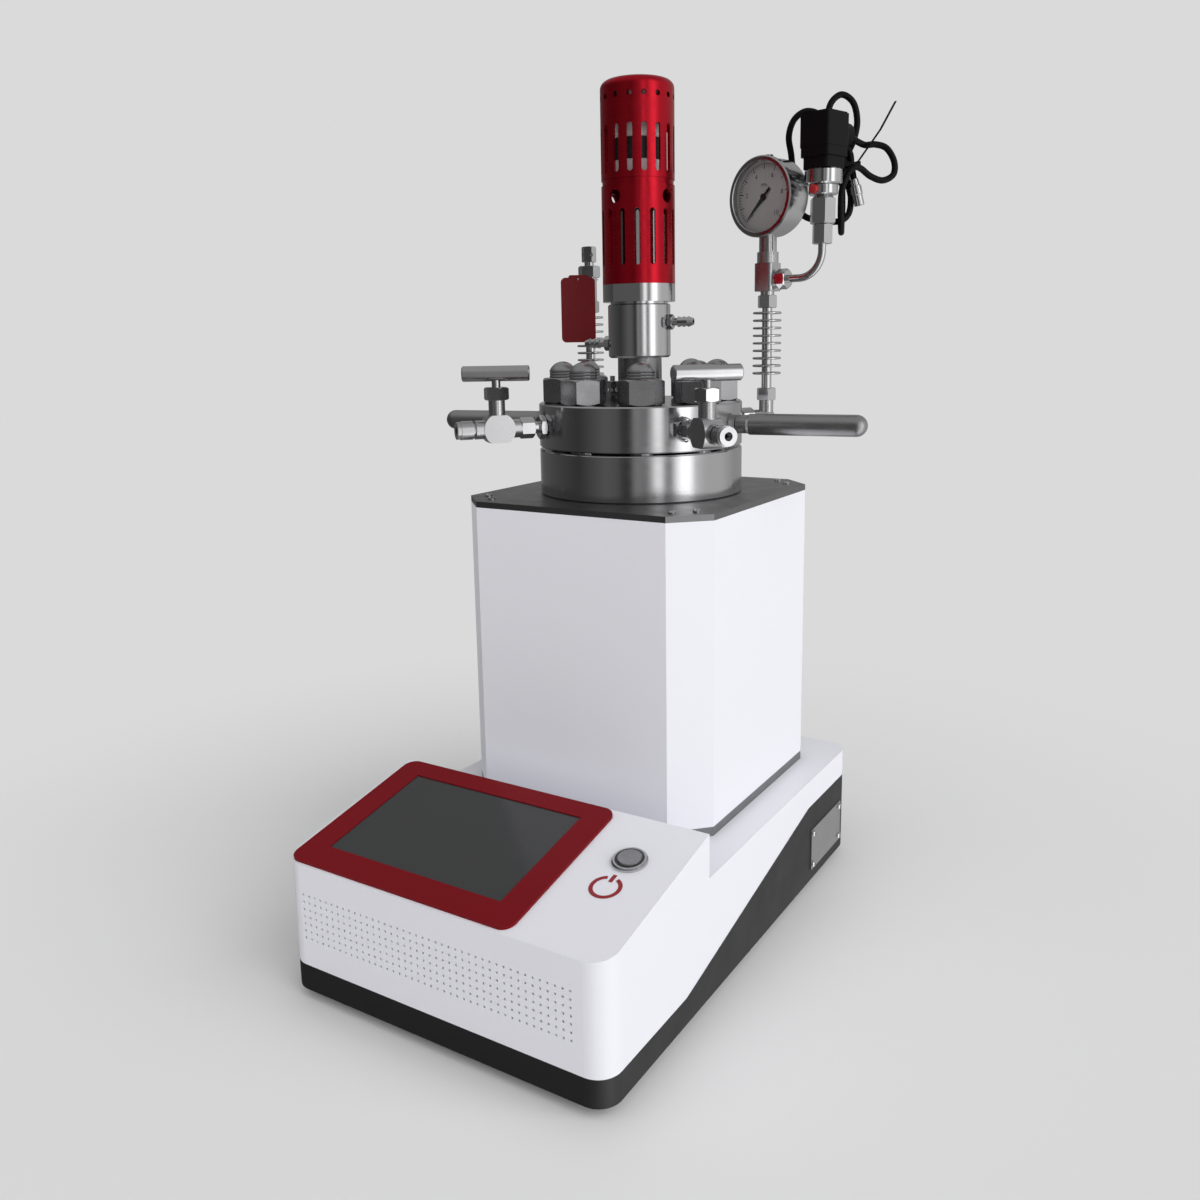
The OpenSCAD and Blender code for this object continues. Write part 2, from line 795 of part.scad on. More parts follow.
// Lid with stud holes, four side ports, handle sockets and the drive's seat
module lid() {
  color("silver")
  difference() {
    translate([0, axis_y, 0])
      rotate_extrude()
        polygon([[0, z_lid], [rim_r - 1, z_lid], [rim_r, z_lid + 1], [rim_r, z_lid_top - 1], [rim_r - 1, z_lid_top], [0, z_lid_top]]);
    for (i = [0:stud_n - 1])
      around(stud_a0 + i * 360 / stud_n, stud_pcd / 2, z_lid - 1) cylinder(d = stud_d + 1.5, h = lid_h + 2);
    for (a = port_angles) {
      around(a, passage_r, z_port) along_x() cylinder(d = passage_d, h = rim_r);
      around(a, rim_r - spigot_l - 1, z_port) along_x() cylinder(d = spigot_d + 2 * rest_fit, h = spigot_l + 2);
      around(a, passage_r, z_lid - 1) cylinder(d = passage_d, h = lid_h / 2 + 1);
    }
    for (a = [head_turn, head_turn + 180])
      around(a, rim_r - handle_pin_l - 1, z_port) along_x() cylinder(d = handle_pin_d + 2 * rest_fit, h = handle_pin_l + 2);
    translate([0, axis_y, z_lid - 1]) cylinder(d = shaft_d + 4, h = lid_h + 2);
    translate([0, axis_y, z_lid_top - neck_in - 0.5]) cylinder(d = neck_d - 8 + 2 * rest_fit, h = neck_in + 1);
    around(well_angle, well_r, z_lid - 1) cylinder(d = well_d + 2 * rest_fit, h = lid_h + 2);
  }
}

// Bar handles: a screwed pin, a neck and a bar with a domed end
module handles() {
  color("dimgray")
  for (a = [head_turn, head_turn + 180])
    around(a, rim_r, z_port) along_x() {
      translate([0, 0, -handle_pin_l]) cylinder(d = handle_pin_d, h = handle_pin_l + 1);
      cylinder(d = handle_neck_d, h = handle_neck_l + 1);
      translate([0, 0, handle_neck_l]) cylinder(d1 = handle_neck_d, d2 = handle_d, h = 2);
      translate([0, 0, handle_neck_l + 2]) cylinder(d = handle_d, h = handle_l - handle_neck_l - 2 - handle_d / 2);
      translate([0, 0, handle_l - handle_d / 2]) sphere(d = handle_d);
    }
}

// Male connectors screwed into the side ports
module port_connectors() {
  color("silver")
  for (a = port_angles)
    around(a, rim_r, z_port) along_x()
      difference() {
        union() {
          translate([0, 0, -spigot_l]) cylinder(d = spigot_d, h = spigot_l + 1);
          nut(connector_af, connector_h, 1);
          translate([0, 0, connector_h - 1]) cylinder(d = connector_neck_d, h = nut_far - connector_h + 1);
        }
        translate([0, 0, -spigot_l - 1]) cylinder(d = 4, h = nut_far + spigot_l + 2);
      }
}

module port_nuts() {
  color("gainsboro")
  for (a = port_angles)
    around(a, rim_r + nut_near, z_port) along_x() nut(port_af, nut_far - nut_near, connector_neck_d + 2 * rest_fit);
}

// Forged valve body: flow bar, round hub, neck, bonnet and outlet connector
module valve_body(a) {
  x0 = nut_far - valve_reach;
  neck_z = valve_neck;
  top_z = valve_neck + bonnet_l;
  out0 = valve_out - 14;
  color("silver")
  around(a, valve_r, z_port)
    difference() {
      union() {
        translate([x0, 0, 0]) along_x() cylinder(d = valve_bar_d, h = out0 - x0);
        intersection() {
          rotate([90, 0, 0]) cylinder(d = valve_hub_d, h = valve_hub_w, center = true);
          translate([-30, -30, -valve_boss]) cube([60, 60, valve_boss + neck_z]);
        }
        cylinder(d = valve_bar_d, h = neck_z);
        translate([0, 0, neck_z - 1]) cylinder(d = bonnet_d, h = bonnet_l + 1);
        // outlet connector: neck, collar and ring
        translate([out0 - 1, 0, 0]) along_x() cylinder(d = valve_bar_d - 4, h = 4);
        translate([out0 + 2, 0, 0]) along_x() cylinder(d = valve_bar_d, h = 9);
        translate([out0 + 10, 0, 0]) along_x() cylinder(d = valve_bar_d - 1, h = 4);
      }
      // inlet passage to the seat, outlet passage out
      translate([x0 - 1, 0, -3]) along_x() cylinder(d = 4, h = -x0 + 3);
      translate([0, 0, -4]) cylinder(d = 3, h = 6);
      along_x() cylinder(d = 4, h = valve_out);
      translate([valve_out - outlet_in, 0, 0]) along_x() cylinder(d = outlet_bore, h = outlet_in + 1);
      translate([0, 0, -1]) cylinder(d = stem_d + 2 * run_fit, h = top_z + 2);
    }
}

module left_valve_body() { valve_body(a_left); }
module right_valve_body() { valve_body(a_right); }

module packing_nuts() {
  color("gainsboro")
  for (a = [a_left, a_right])
    around(a, valve_r, z_port + valve_neck + bonnet_l) rotate([0, 0, 30])
      nut(pack_nut_af, pack_nut_h, stem_d + 2 * run_fit);
}

// T handle: needle stem with a chamfered cross bar
module valve_handle(a, bar_angle) {
  bz = valve_neck + bonnet_l + pack_nut_h + bar_rise;
  c = 0.8;
  color("silver")
  around(a, valve_r, z_port) {
    translate([0, 0, 4]) cylinder(d = stem_d, h = bz - 4);
    translate([0, 0, 1]) cylinder(d1 = 2, d2 = stem_d, h = 3);
    rotate([0, 0, bar_angle - a]) translate([-bar_l / 2, 0, bz]) along_x()
      rotate_extrude()
        polygon([[0, 0], [bar_d / 2 - c, 0], [bar_d / 2, c], [bar_d / 2, bar_l - c], [bar_d / 2 - c, bar_l], [0, bar_l]]);
  }
}

module left_valve_handle() { valve_handle(a_left, left_bar_angle); }
module right_valve_handle() { valve_handle(a_right, right_bar_angle); }

// Forged elbows from the side ports up into the columns
module column_elbows() {
  color("gray")
  for (c = [[a_gauge, gauge_reach], [a_disc, disc_reach]])
    around(c[0], rim_r + nut_far, z_port) {
      l = c[1] - nut_far;
      difference() {
        union() {
          along_x() cylinder(d = port_af - 2, h = l);
          translate([l, 0, 0]) sphere(d = port_af);
          translate([l, 0, 0]) cylinder(d = port_af - 2.5, h = elbow_h);
        }
        translate([-1, 0, 0]) along_x() cylinder(d = 4, h = l + 1);
        translate([l, 0, 0]) cylinder(d = 4, h = elbow_h + 1);
      }
    }
}

// Tube nuts below and above both finned tubes, and under the sensor
module column_nuts() {
  color("gainsboro") {
    for (c = [[a_gauge, gauge_r], [a_disc, disc_r]], z = [z_col, z_nut_up])
      around(c[0], c[1], z) rotate([0, 0, 10]) nut(port_af, col_nut_h, tube_d + 2 * rest_fit);
    translate([sensor_x, sensor_y, z_snut]) nut(port_af, z_adapter - z_snut, tube_d + 2 * rest_fit);
    translate([gauge_x, gauge_y, z_arm]) rotate([0, 0, arm_angle]) translate([arm_nut, 0, 0]) along_x()
      nut(port_af, 9, tube_d + 2 * rest_fit);
  }
}

// Stand-off tubes turned with round cooling fins
module finned_tubes() {
  root = tube_d + 2;
  f0 = (fin_tube_l - (fin_n - 1) * fin_pitch) / 2 + 3.9;
  color("silver")
  for (c = [[a_gauge, gauge_r], [a_disc, disc_r]])
    around(c[0], c[1], z_fins)
      difference() {
        union() {
          translate([0, 0, -col_nut_h]) cylinder(d = tube_d, h = fin_tube_l + 2 * col_nut_h);
          translate([0, 0, 0]) cylinder(d = root, h = fin_tube_l);
          for (i = [0:fin_n - 1])
            translate([0, 0, f0 + i * fin_pitch - fin_t / 2]) cylinder(d = fin_d, h = fin_t);
        }
        translate([0, 0, -col_nut_h - 1]) cylinder(d = 3, h = fin_tube_l + 2 * col_nut_h + 2);
      }
}

// Tee: upright bar with a side arm, and the gauge's socket on top
module tee() {
  color("gainsboro")
  translate([gauge_x, gauge_y, 0]) rotate([0, 0, arm_angle])
    difference() {
      union() {
        translate([0, 0, z_nut_up + col_nut_h]) cylinder(d = port_af - 3, h = z_tee - z_nut_up - col_nut_h + 1);
        translate([0, 0, z_tee]) intersection() {
          linear_extrude(tee_h) rrect(tee_w, tee_w, 3);
          translate([0, 0, tee_h / 2]) sphere(d = tee_h * 1.35);
        }
        translate([0, 0, z_tee + 2]) cylinder(d = tee_w - 2, h = tee_h - 2);
        translate([0, 0, z_arm]) along_x() cylinder(d = port_af - 2, h = arm_nut);
        translate([0, 0, z_socket]) cylinder(d = socket_d, h = socket_l);
      }
      translate([0, 0, z_nut_up]) cylinder(d = 4, h = z_gstem - z_nut_up + 1);
      translate([0, 0, z_arm]) along_x() cylinder(d = 4, h = arm_nut + 1);
    }
}

// Local frame of the gauge: Z out of the dial, Y to the viewer's right, X down
module gauge_frame() {
  translate([gauge_x, gauge_y, z_gauge]) rotate([0, 0, dial_angle]) along_x() children();
}

// Case with a rounded back, a recess for the dial, a stem and a filling plug on top
module gauge_case() {
  r = gauge_d / 2;
  color("silver")
  difference() {
    union() {
      gauge_frame()
        rotate_extrude()
          polygon([[0, -gauge_back], [r - 3, -gauge_back], [r - 1, -gauge_back + 0.8], [r, -gauge_back + 3], [r, gauge_front], [0, gauge_front]]);
      translate([gauge_x, gauge_y, z_gstem]) cylinder(d = gauge_stem_d, h = gauge_stem_l + 4);
      translate([gauge_x, gauge_y, z_gauge + r - 1]) cylinder(d = 7, h = 3.2);
    }
    gauge_frame() translate([0, 0, gauge_front - dial_in]) cylinder(r = r - gauge_wall, h = 20);
    gauge_frame() translate([0, 0, gauge_front - dial_in - 4]) cylinder(d = 2, h = 8);
  }
}

module gauge_ring() {
  r = gauge_d / 2;
  f = gauge_front;
  ro = r + ring_over;
  skirt_z = gauge_stem_d / 2 + loose;
  color("silver")
  gauge_frame()
    rotate_extrude()
      polygon([[r + rest_fit, skirt_z], [ro, skirt_z], [ro, f + ring_t - 1], [ro - 1, f + ring_t], [r - 2.6, f + ring_t], [r - 3, f + ring_t - 0.5],
        [r - 3, f + glass_t], [r - 0.8 + rest_fit, f + glass_t], [r - 0.8 + rest_fit, f], [r + rest_fit, f]]);
}

module gauge_dial() {
  color("whitesmoke")
  gauge_frame() translate([0, 0, gauge_front - dial_in])
    ring(gauge_d / 2 - gauge_wall - rest_fit, 1, dial_t);
}

// Tapered pointer with a round tail on its spindle, at rest at the lower left
module gauge_pointer() {
  l = gauge_d / 2 - gauge_wall - 7;
  z0 = gauge_front - dial_in + dial_t + 0.8;
  color("black")
  gauge_frame() rotate([0, 0, -45]) {
    translate([0, 0, z0]) linear_extrude(0.6) polygon([[-9, -1.2], [-3, -0.9], [0, -1.6], [l, -0.25], [l, 0.25], [0, 1.6], [-3, 0.9], [-9, 1.2]]);
    translate([0, 0, z0]) cylinder(r = 2.6, h = 1);
    translate([0, 0, gauge_front - dial_in - 3]) cylinder(d = 2 - 2 * run_fit, h = dial_t + 5);
  }
}

module gauge_glass() {
  color("lightcyan")
  gauge_frame() translate([0, 0, gauge_front]) cylinder(r = gauge_d / 2 - 0.8, h = glass_t - 0.1);
}

// Tube bent from the tee's arm up to the sensor
module sensor_tube() {
  x0 = arm_nut;
  x1 = arm_l - bend_r;
  color("silver")
  translate([gauge_x, gauge_y, z_arm]) rotate([0, 0, arm_angle]) {
    translate([x0, 0, 0]) along_x() ring(tube_d / 2, 1.8, x1 - x0 + 0.01);
    translate([x1, 0, bend_r]) rotate([90, 0, 0]) rotate([0, 0, -90]) rotate_extrude(angle = 90)
      translate([bend_r, 0]) difference() {
        circle(d = tube_d);
        circle(r = 1.8);
      }
    translate([arm_l, 0, bend_r - 0.01]) ring(tube_d / 2, 1.8, z_adapter - z_bend + 0.01);
  }
}

module sensor_adapter() {
  color("gainsboro")
  translate([sensor_x, sensor_y, z_adapter]) {
    nut(adapter_af, adapter_h, 3);
    translate([0, 0, adapter_h])
      difference() {
        cylinder(d1 = adapter_af * 0.94, d2 = adapter_af * 0.75, h = z_ring - z_dome);
        translate([0, 0, -1]) cylinder(d = 3, h = 5);
      }
  }
}

// Sensor: lower ring with a small side cap, turned body above it
module sensor_body() {
  rl = ring_low_d / 2;
  rb = sensor_d / 2;
  color("silver")
  translate([sensor_x, sensor_y, 0]) {
    rotate_extrude()
      polygon([[0, z_ring], [rl - 0.8, z_ring], [rl, z_ring + 0.8], [rl, z_body - 0.8], [rl - 0.6, z_body], [rb - 1, z_body], [rb, z_body + 1],
        [rb, z_plug - 1], [rb - 1, z_plug], [0, z_plug]]);
    translate([0, 0, (z_ring + z_body) / 2]) rotate([0, 0, dial_angle]) translate([rl - 2, 0, 0]) along_x() cylinder(d = 6, h = 3.2);
  }
}

// Plug: tapered foot, square block with a clamped edge, top screw and cable gland
module sensor_plug() {
  b = block_w / 2;
  color("black")
  translate([sensor_x, sensor_y, 0]) rotate([0, 0, dial_angle + 180])
    difference() {
      union() {
        translate([0, 0, z_plug]) linear_extrude(foot_plug_h * 0.55) rrect(block_w - 3, block_w - 3, 4);
        translate([0, 0, z_plug + foot_plug_h * 0.55]) linear_extrude(foot_plug_h * 0.45 + 1) rrect(block_w - 0.6, block_w - 0.6, 3);
        translate([0, 0, z_block]) linear_extrude(block_h - 1) rrect(block_w, block_w, 2.5);
        translate([0, 0, z_plug_top - 1.5]) linear_extrude(1.5) rrect(block_w - 2, block_w - 2, 2);
        // gland: threaded neck and round clamping nut
        translate([b - 1, 0, gland_z]) along_x() cylinder(d = gland_d - 4, h = 6);
        translate([b + 3, 0, gland_z]) along_x() cylinder(d = gland_d, h = gland_out - b - 6);
        translate([gland_out - 3.5, 0, gland_z]) along_x() cylinder(d1 = gland_d, d2 = gland_d - 6, h = 3.5);
      }
      translate([b - 2, 0, gland_z]) along_x() cylinder(d = cable_d + 2 * rest_fit, h = 30);
      translate([0, 0, z_plug_top - 0.8]) cylinder(d = 7, h = 2);
    }
}

// Points of the cable: across, behind and above the sensor's axis at the gland's height
cable_points = [[15, 13.5, 0], [21, 19, 0], [25.5, 23, -0.5], [31, 27, -3], [38, 29, -5.5], [46, 30, -5], [55, 30, -8], [61, 29, -18],
  [60.5, 28, -28], [52, 27, -32.5], [42, 25.5, -29.5], [34, 23.5, -24], [28.5, 21.5, -23], [23, 21, -28], [19, 21.5, -40], [18.5, 22, -52],
  [19.5, 25, -65], [21.5, 32, -71], [23, 38.5, -64], [23.5, 39, -52], [22, 34, -36], [21.5, 28.5, -20], [20, 31.5, -12], [15.5, 35.5, 0],
  [10.5, 37.5, 13], [12, 37.5, 27], [20.5, 38, 34], [30, 38.5, 28], [33.5, 38.5, 14], [31, 37.5, 0], [26, 35.5, -11], [24, 34, -20],
  [26.5, 35.5, -33], [29.5, 36.5, -44], [28, 35.5, -56], [21, 31.5, -62], [11, 28, -63], [1, 26, -62], [-9, 29, -58], [-15, 36, -47],
  [-16, 38, -31], [-18, 38.5, -11], [-20.5, 36.5, 3], [-17, 35, 15], [-8.5, 33.5, 21], [1, 32, 19], [9, 31, 12], [15, 30, 3],
  [21, 28, -5], [26, 27.5, -12], [27.5, 28.5, -20], [29.5, 29.5, -29], [30, 29.5, -31]];
cable_turn = 32;

function spline(a, b, c, d, t) =
  0.5 * (2 * b + (c - a) * t + (2 * a - 5 * b + 4 * c - d) * t * t + (3 * b - a - 3 * c + d) * t * t * t);
function unit(v) = v / norm(v);
function smooth(p, k) = [for (i = [0:len(p) - 2], j = [0:k - 1])
  spline(p[max(i - 1, 0)], p[i], p[i + 1], p[min(i + 2, len(p) - 1)], j / k), p[len(p) - 1]];
function tangent(p, i) = unit(p[min(i + 1, len(p) - 1)] - p[max(i - 1, 0)]);
function carried(n, t) = unit(n - (n * t) * t);

// Round tube along a path, its rings carried along without twist
module sweep(path, d, sides) {
  n = len(path);
  t = [for (i = [0:n - 1]) tangent(path, i)];
  side = [for (i = 0, v = carried([0, 0, 1], t[0]); i < n; i = i + 1, v = carried(v, t[min(i, n - 1)])) v];
  pts = [for (i = [0:n - 1], k = [0:sides - 1])
    path[i] + d / 2 * (cos(k * 360 / sides) * side[i] + sin(k * 360 / sides) * cross(t[i], side[i]))];
  walls = [for (i = [0:n - 2], k = [0:sides - 1])
    [i * sides + k, (i + 1) * sides + k, (i + 1) * sides + (k + 1) % sides, i * sides + (k + 1) % sides]];
  first = [for (k = [0:sides - 1]) k];
  last = [for (k = [0:sides - 1]) n * sides - 1 - k];
  polyhedron(points = pts, faces = concat(walls, [first, last]), convexity = 10);
}

// Cable places: X across, Y behind, Z up, from the sensor's axis at the gland's height
module cable_frame() {
  translate([sensor_x, sensor_y, gland_z]) rotate([0, 0, cable_turn]) children();
}

module sensor_cable() {
  color("black")
  cable_frame() sweep(smooth(cable_points, 1), cable_d, cable_sides);
}

// Strap round the three upright strands, its head and its long tail
module cable_tie() {
  r = cable_d / 2 + tie_gap;
  color("black")
  cable_frame() {
    translate([0, 0, -22]) linear_extrude(3.6)
      difference() {
        hull() for (c = [[21.5, 28.5], [27.5, 28.5], [24, 34]]) translate(c) circle(r = r + 1.1, $fn = 24);
        hull() for (c = [[21.5, 28.5], [27.5, 28.5], [24, 34]]) translate(c) circle(r = r, $fn = 24);
      }
    translate([30.9, 26.3, -22.6]) cube([3.4, 4.6, 4.8]);
    hull() {
      translate([32, 24.5, -17.9]) cube([1, 3.6, 0.5]);
      translate([47, 19.5, 4]) cube([1, 3.6, 0.5]);
    }
    hull() {
      translate([47, 19.5, 4]) cube([1, 3.6, 0.5]);
      translate([57.5, 17.5, 24]) cube([1, 3.6, 0.5]);
    }
  }
}

// Metal connector at the cable's end: strain relief, knurled ring and barrel
module cable_connector() {
  color("silver")
  cable_frame() translate([30, 29.5, -31]) rotate([0, 166, 0]) rotate_extrude()
    polygon([[0, 0], [3.2, 0], [3.6, 5], [4.4, 5.4], [4.4, 12], [3.9, 12.4], [3.9, 20.5], [3.1, 20.5], [3.1, 14], [0, 14]]);
}

// Rupture disc holder: stem, hex and vent nut with its side holes
module disc_holder() {
  z0 = z_nut_up + col_nut_h;
  z1 = z0 + disc_stem_l;
  color("silver")
  around(a_disc, disc_r, 0)
    difference() {
      union() {
        translate([0, 0, z0]) cylinder(d = disc_stem_d, h = disc_stem_l + 1);
        translate([0, 0, z1]) nut(disc_hex_af, disc_hex_h, 1);
        translate([0, 0, z1 + disc_hex_h - 1]) cylinder(d = 8, h = 5);
        translate([0, 0, z1 + disc_hex_h + 3]) nut(11, 13, 1);
      }
      translate([0, 0, z0 - 1]) cylinder(d = 4, h = disc_stem_l + disc_hex_h + 18);
      for (i = [0:3])
        translate([0, 0, z1 + disc_hex_h + 9]) rotate([0, 90, i * 90]) translate([0, 0, 1]) cylinder(d = 3, h = 10);
    }
}

// Tag frame: X across, Y behind, Z up, at the disc holder's stem
module tag_frame() {
  around(a_disc, disc_r, z_nut_up + col_nut_h + disc_stem_l) rotate([0, 0, cable_turn - a_disc]) children();
}
tag_x = -9.7;
tag_y = -fin_d / 2 - 1.2;
tag_top = 3;
wire_d = 1;

module red_tag() {
  color("firebrick")
  tag_frame() translate([tag_x, tag_y, tag_top])
    rotate([90, 0, 0])
      difference() {
        linear_extrude(tag_t) {
          translate([0, -tag_h / 2 - 3]) rrect(tag_w, tag_h, 4);
          translate([0, -5.5]) rrect(16, 9, 2);
        }
        translate([0, -4.5, -1]) cylinder(d = wire_d + 2 * loose, h = tag_t + 2);
      }
}

// Thin wire: a ring round the stem and a ring through the tag's hole
module tag_wire() {
  r = disc_stem_d / 2 + wire_d / 2 + rest_fit;
  l = -tag_y + tag_t + 1.5;
  color("silver")
  tag_frame() {
    translate([0, 0, tag_top - 4.5]) rotate_extrude() translate([r, 0]) circle(d = wire_d, $fn = 16);
    translate([tag_x, 0, tag_top - 4.5]) rotate([90, 0, 0]) cylinder(d = wire_d, h = l);
    translate([tag_x, 0, tag_top - 4.5]) rotate([0, 90, 0]) cylinder(d = wire_d, h = -tag_x - r + wire_d * 0.4);
    translate([tag_x, -l, tag_top - 4.5]) sphere(d = 1.6);
  }
}

// Thermowell with its fitting on the lid, and the dip tube under the left valve's port
module lid_fittings() {
  color("silver") {
    around(well_angle, well_r, 0) {
      translate([0, 0, z_lid_top]) nut(9.5, 7, 1);
      translate([0, 0, z_lid_top + 6]) cylinder(d = 7, h = 3);
      translate([0, 0, z_lid_top + 9]) nut(8.5, 6, 1);
      translate([0, 0, z_lid_top + 14]) cylinder(d = 4, h = 5);
      translate([0, 0, z_cup + 20]) cylinder(d = well_d, h = z_lid_top - z_cup - 19);
    }
    around(a_left, passage_r, z_cup + 10)
      ring((passage_d - 2 * rest_fit) / 2, 1.8, z_lid + 12 - z_cup - 10);
  }
}

// Drive neck: spigot in the lid, seat for the isolation can, lower bush pressed in
module drive_neck() {
  r = neck_d / 2;
  color("gray")
  translate([0, axis_y, 0])
    rotate_extrude()
      polygon([[shaft_d / 2 + run_fit, z_lid_top - neck_in], [r - 4, z_lid_top - neck_in], [r - 4, z_lid_top], [r + 2.5, z_lid_top], [r + 2.5, z_lid_top + 3],
        [r, z_lid_top + 4], [r, z_jacket], [can_r + rest_fit, z_jacket], [can_r + rest_fit, z_jacket - can_seat], [shaft_d / 2 + 2, z_jacket - can_seat],
        [shaft_d / 2 + 2, z_lid_top - neck_in + bush_h + 2], [shaft_d / 2 + run_fit, z_lid_top - neck_in + bush_h]]);
}

// Water jacket: double wall with a closed water space and two threaded side holes
module cooling_jacket() {
  r = jacket_d / 2;
  color("silver")
  difference() {
    translate([0, axis_y, 0])
      rotate_extrude()
        polygon([[can_r + rest_fit, z_jacket], [r - 1.5, z_jacket], [r, z_jacket + 1.5], [r, z_collar - 1], [r - 1, z_collar], [can_r + rest_fit, z_collar]]);
    translate([0, axis_y, z_jacket + 5]) ring(r - 4, can_r + 3, jacket_h - 10);
    for (b = barb_places)
      around(b[0], r - 6, b[1]) along_x() cylinder(d = barb_neck_d + 2 * rest_fit, h = 8);
  }
}

// Hose barbs: threaded neck, hex and three ridges, bored through
module hose_barbs() {
  r = barb_d / 2;
  l = barb_l;
  p = barb_pitch;
  color("silver")
  for (b = barb_places)
    around(b[0], jacket_d / 2, b[1]) along_x()
      difference() {
        union() {
          translate([0, 0, -barb_thread_l]) cylinder(d = barb_neck_d, h = barb_thread_l + 1);
          nut(barb_hex_af, barb_hex_h, 1);
          rotate_extrude()
            polygon([[0, barb_hex_h - 1], [r * 0.72, barb_hex_h - 1], [r * 0.72, l - 3 * p], [r, l - 3 * p], [r * 0.75, l - 2 * p], [r, l - 2 * p],
              [r * 0.75, l - p], [r, l - p], [r * 0.65, l], [0, l]]);
        }
        translate([0, 0, -barb_thread_l - 1]) cylinder(d = barb_bore, h = l + barb_thread_l + 2);
      }
}

// Thin-walled can that seals the shaft, with the upper bush
module isolation_can() {
  z0 = z_jacket - can_seat;
  color("lightgray")
  translate([0, axis_y, 0])
    rotate_extrude()
      polygon([[can_r - can_wall, z0], [can_r, z0], [can_r, can_top - 2], [can_r - 2, can_top], [0, can_top], [0, can_top - 2],
        [shaft_d / 2 + run_fit, can_top - 2], [shaft_d / 2 + run_fit, z_bush], [can_r - can_wall, z_bush]]);
}

// Collar under the red cover: step, two wrench flats and a spigot for the cover
module drive_collar() {
  color("silver")
  translate([0, axis_y, 0])
    difference() {
      union() {
        translate([0, 0, z_collar]) cylinder(d = jacket_d - 4, h = collar_step + 1);
        intersection() {
          translate([0, 0, z_collar + collar_step]) cylinder(d = cover_d, h = collar_h);
          rotate([0, 0, head_turn]) translate([-50, -collar_flats / 2, z_collar - 1]) cube([100, collar_flats, collar_h + 10]);
        }
        translate([0, 0, z_cover - 1]) cylinder(r = cover_ri - rest_fit, h = 5);
      }
      translate([0, 0, z_collar - 1]) cylinder(r = can_r + rest_fit, h = 30);
    }
}

// Upright slots round a cover
module slots(n, a0, z, l) {
  for (i = [0:n - 1])
    around(a0 + i * 360 / n, 0, z)
      translate([cover_ri - 4, 0, 0]) rotate([90, 0, 90]) linear_extrude(12) {
        translate([-slot_w / 2, slot_w / 2]) square([slot_w, l - slot_w]);
        translate([0, slot_w / 2]) circle(d = slot_w);
        translate([0, l - slot_w / 2]) circle(d = slot_w);
      }
}

module cover_lower() {
  color("crimson")
  difference() {
    translate([0, axis_y, z_cover]) ring(cover_r, cover_ri, cover_low_h);
    slots(low_slots, view_a - 3.6, z_cover + 13.5, 40.5);
    for (i = [0:3])
      around(view_a - 43 + i * 90 + 2, cover_ri - 4, z_seam - 9) along_x() cylinder(d = 10, h = 12);
  }
}

module cover_upper() {
  ri = cover_ri;
  color("crimson")
  difference() {
    translate([0, axis_y, 0])
      rotate_extrude()
        difference() {
          union() {
            translate([0, z_seam - spigot_in]) square([ri - rest_fit, spigot_in + 1]);
            translate([0, z_seam]) square([cover_r - 0.8, seam_h + 1]);
            translate([0, z_up]) square([cover_r, cover_up_h - cover_round]);
            translate([0, z_cap - cover_round - 1]) square([cover_r - cover_round, cover_round + 1]);
            translate([cover_r - cover_round, z_cap - cover_round]) intersection() {
              circle(r = cover_round);
              square(cover_round);
            }
          }
          translate([-1, z_seam - spigot_in - 1]) square([ri - 4 + 1, spigot_in + 4]);
          translate([-1, z_motor]) square([ri + 1, z_cap - z_motor - cover_round - 1]);
        }
    slots(up_slots, view_a + 8, z_up + 4, 34);
    for (i = [0:up_slots - 1])
      around(view_a + 8 + i * 360 / up_slots, ri - 4, z_cap - 13) along_x() cylinder(d = 4, h = 12);
  }
}

// Motor: flange on the cover's ledge, end caps and ribbed middle
module drive_motor() {
  r = motor_d / 2;
  m0 = z_motor + motor_flange;
  color("silver")
  difference() {
    translate([0, axis_y, 0])
      rotate_extrude()
        polygon([[0, z_motor], [cover_ri - rest_fit, z_motor], [cover_ri - rest_fit, m0], [r, m0], [r, m0 + 12.5], [r - 1.5, m0 + 13],
          [r - 1.5, m0 + motor_h - 20], [r, m0 + motor_h - 19.5], [r, m0 + motor_h - 2], [r - 2, m0 + motor_h], [0, m0 + motor_h]]);
    translate([0, axis_y, z_motor - 1]) cylinder(d = motor_shaft_d + 2 * run_fit, h = 12);
  }
}

module motor_band() {
  m0 = z_motor + motor_flange;
  color("black")
  translate([0, axis_y, m0 + 13]) ring(motor_d / 2 + 0.4, motor_d / 2 - 1.5 + rest_fit, motor_h - 33);
}

// Outer magnet rotor: a cup round the isolation can, on the motor's shaft
module outer_magnets() {
  ri = can_r + rotor_gap;
  ro = ri + rotor_wall;
  color("dimgray")
  translate([0, axis_y, 0]) {
    rotate_extrude()
      polygon([[ri, z_magnet - 2], [ro - 1, z_magnet - 2], [ro, z_magnet - 1], [ro, z_rotor_roof + rotor_roof - 1], [ro - 1, z_rotor_roof + rotor_roof],
        [7, z_rotor_roof + rotor_roof], [7, z_rotor_roof + rotor_roof + 5], [0, z_rotor_roof + rotor_roof + 5], [0, z_rotor_roof], [ri, z_rotor_roof]]);
    translate([0, 0, z_rotor_roof + rotor_roof]) cylinder(d = motor_shaft_d, h = z_motor + 8 - z_rotor_roof - rotor_roof);
  }
}

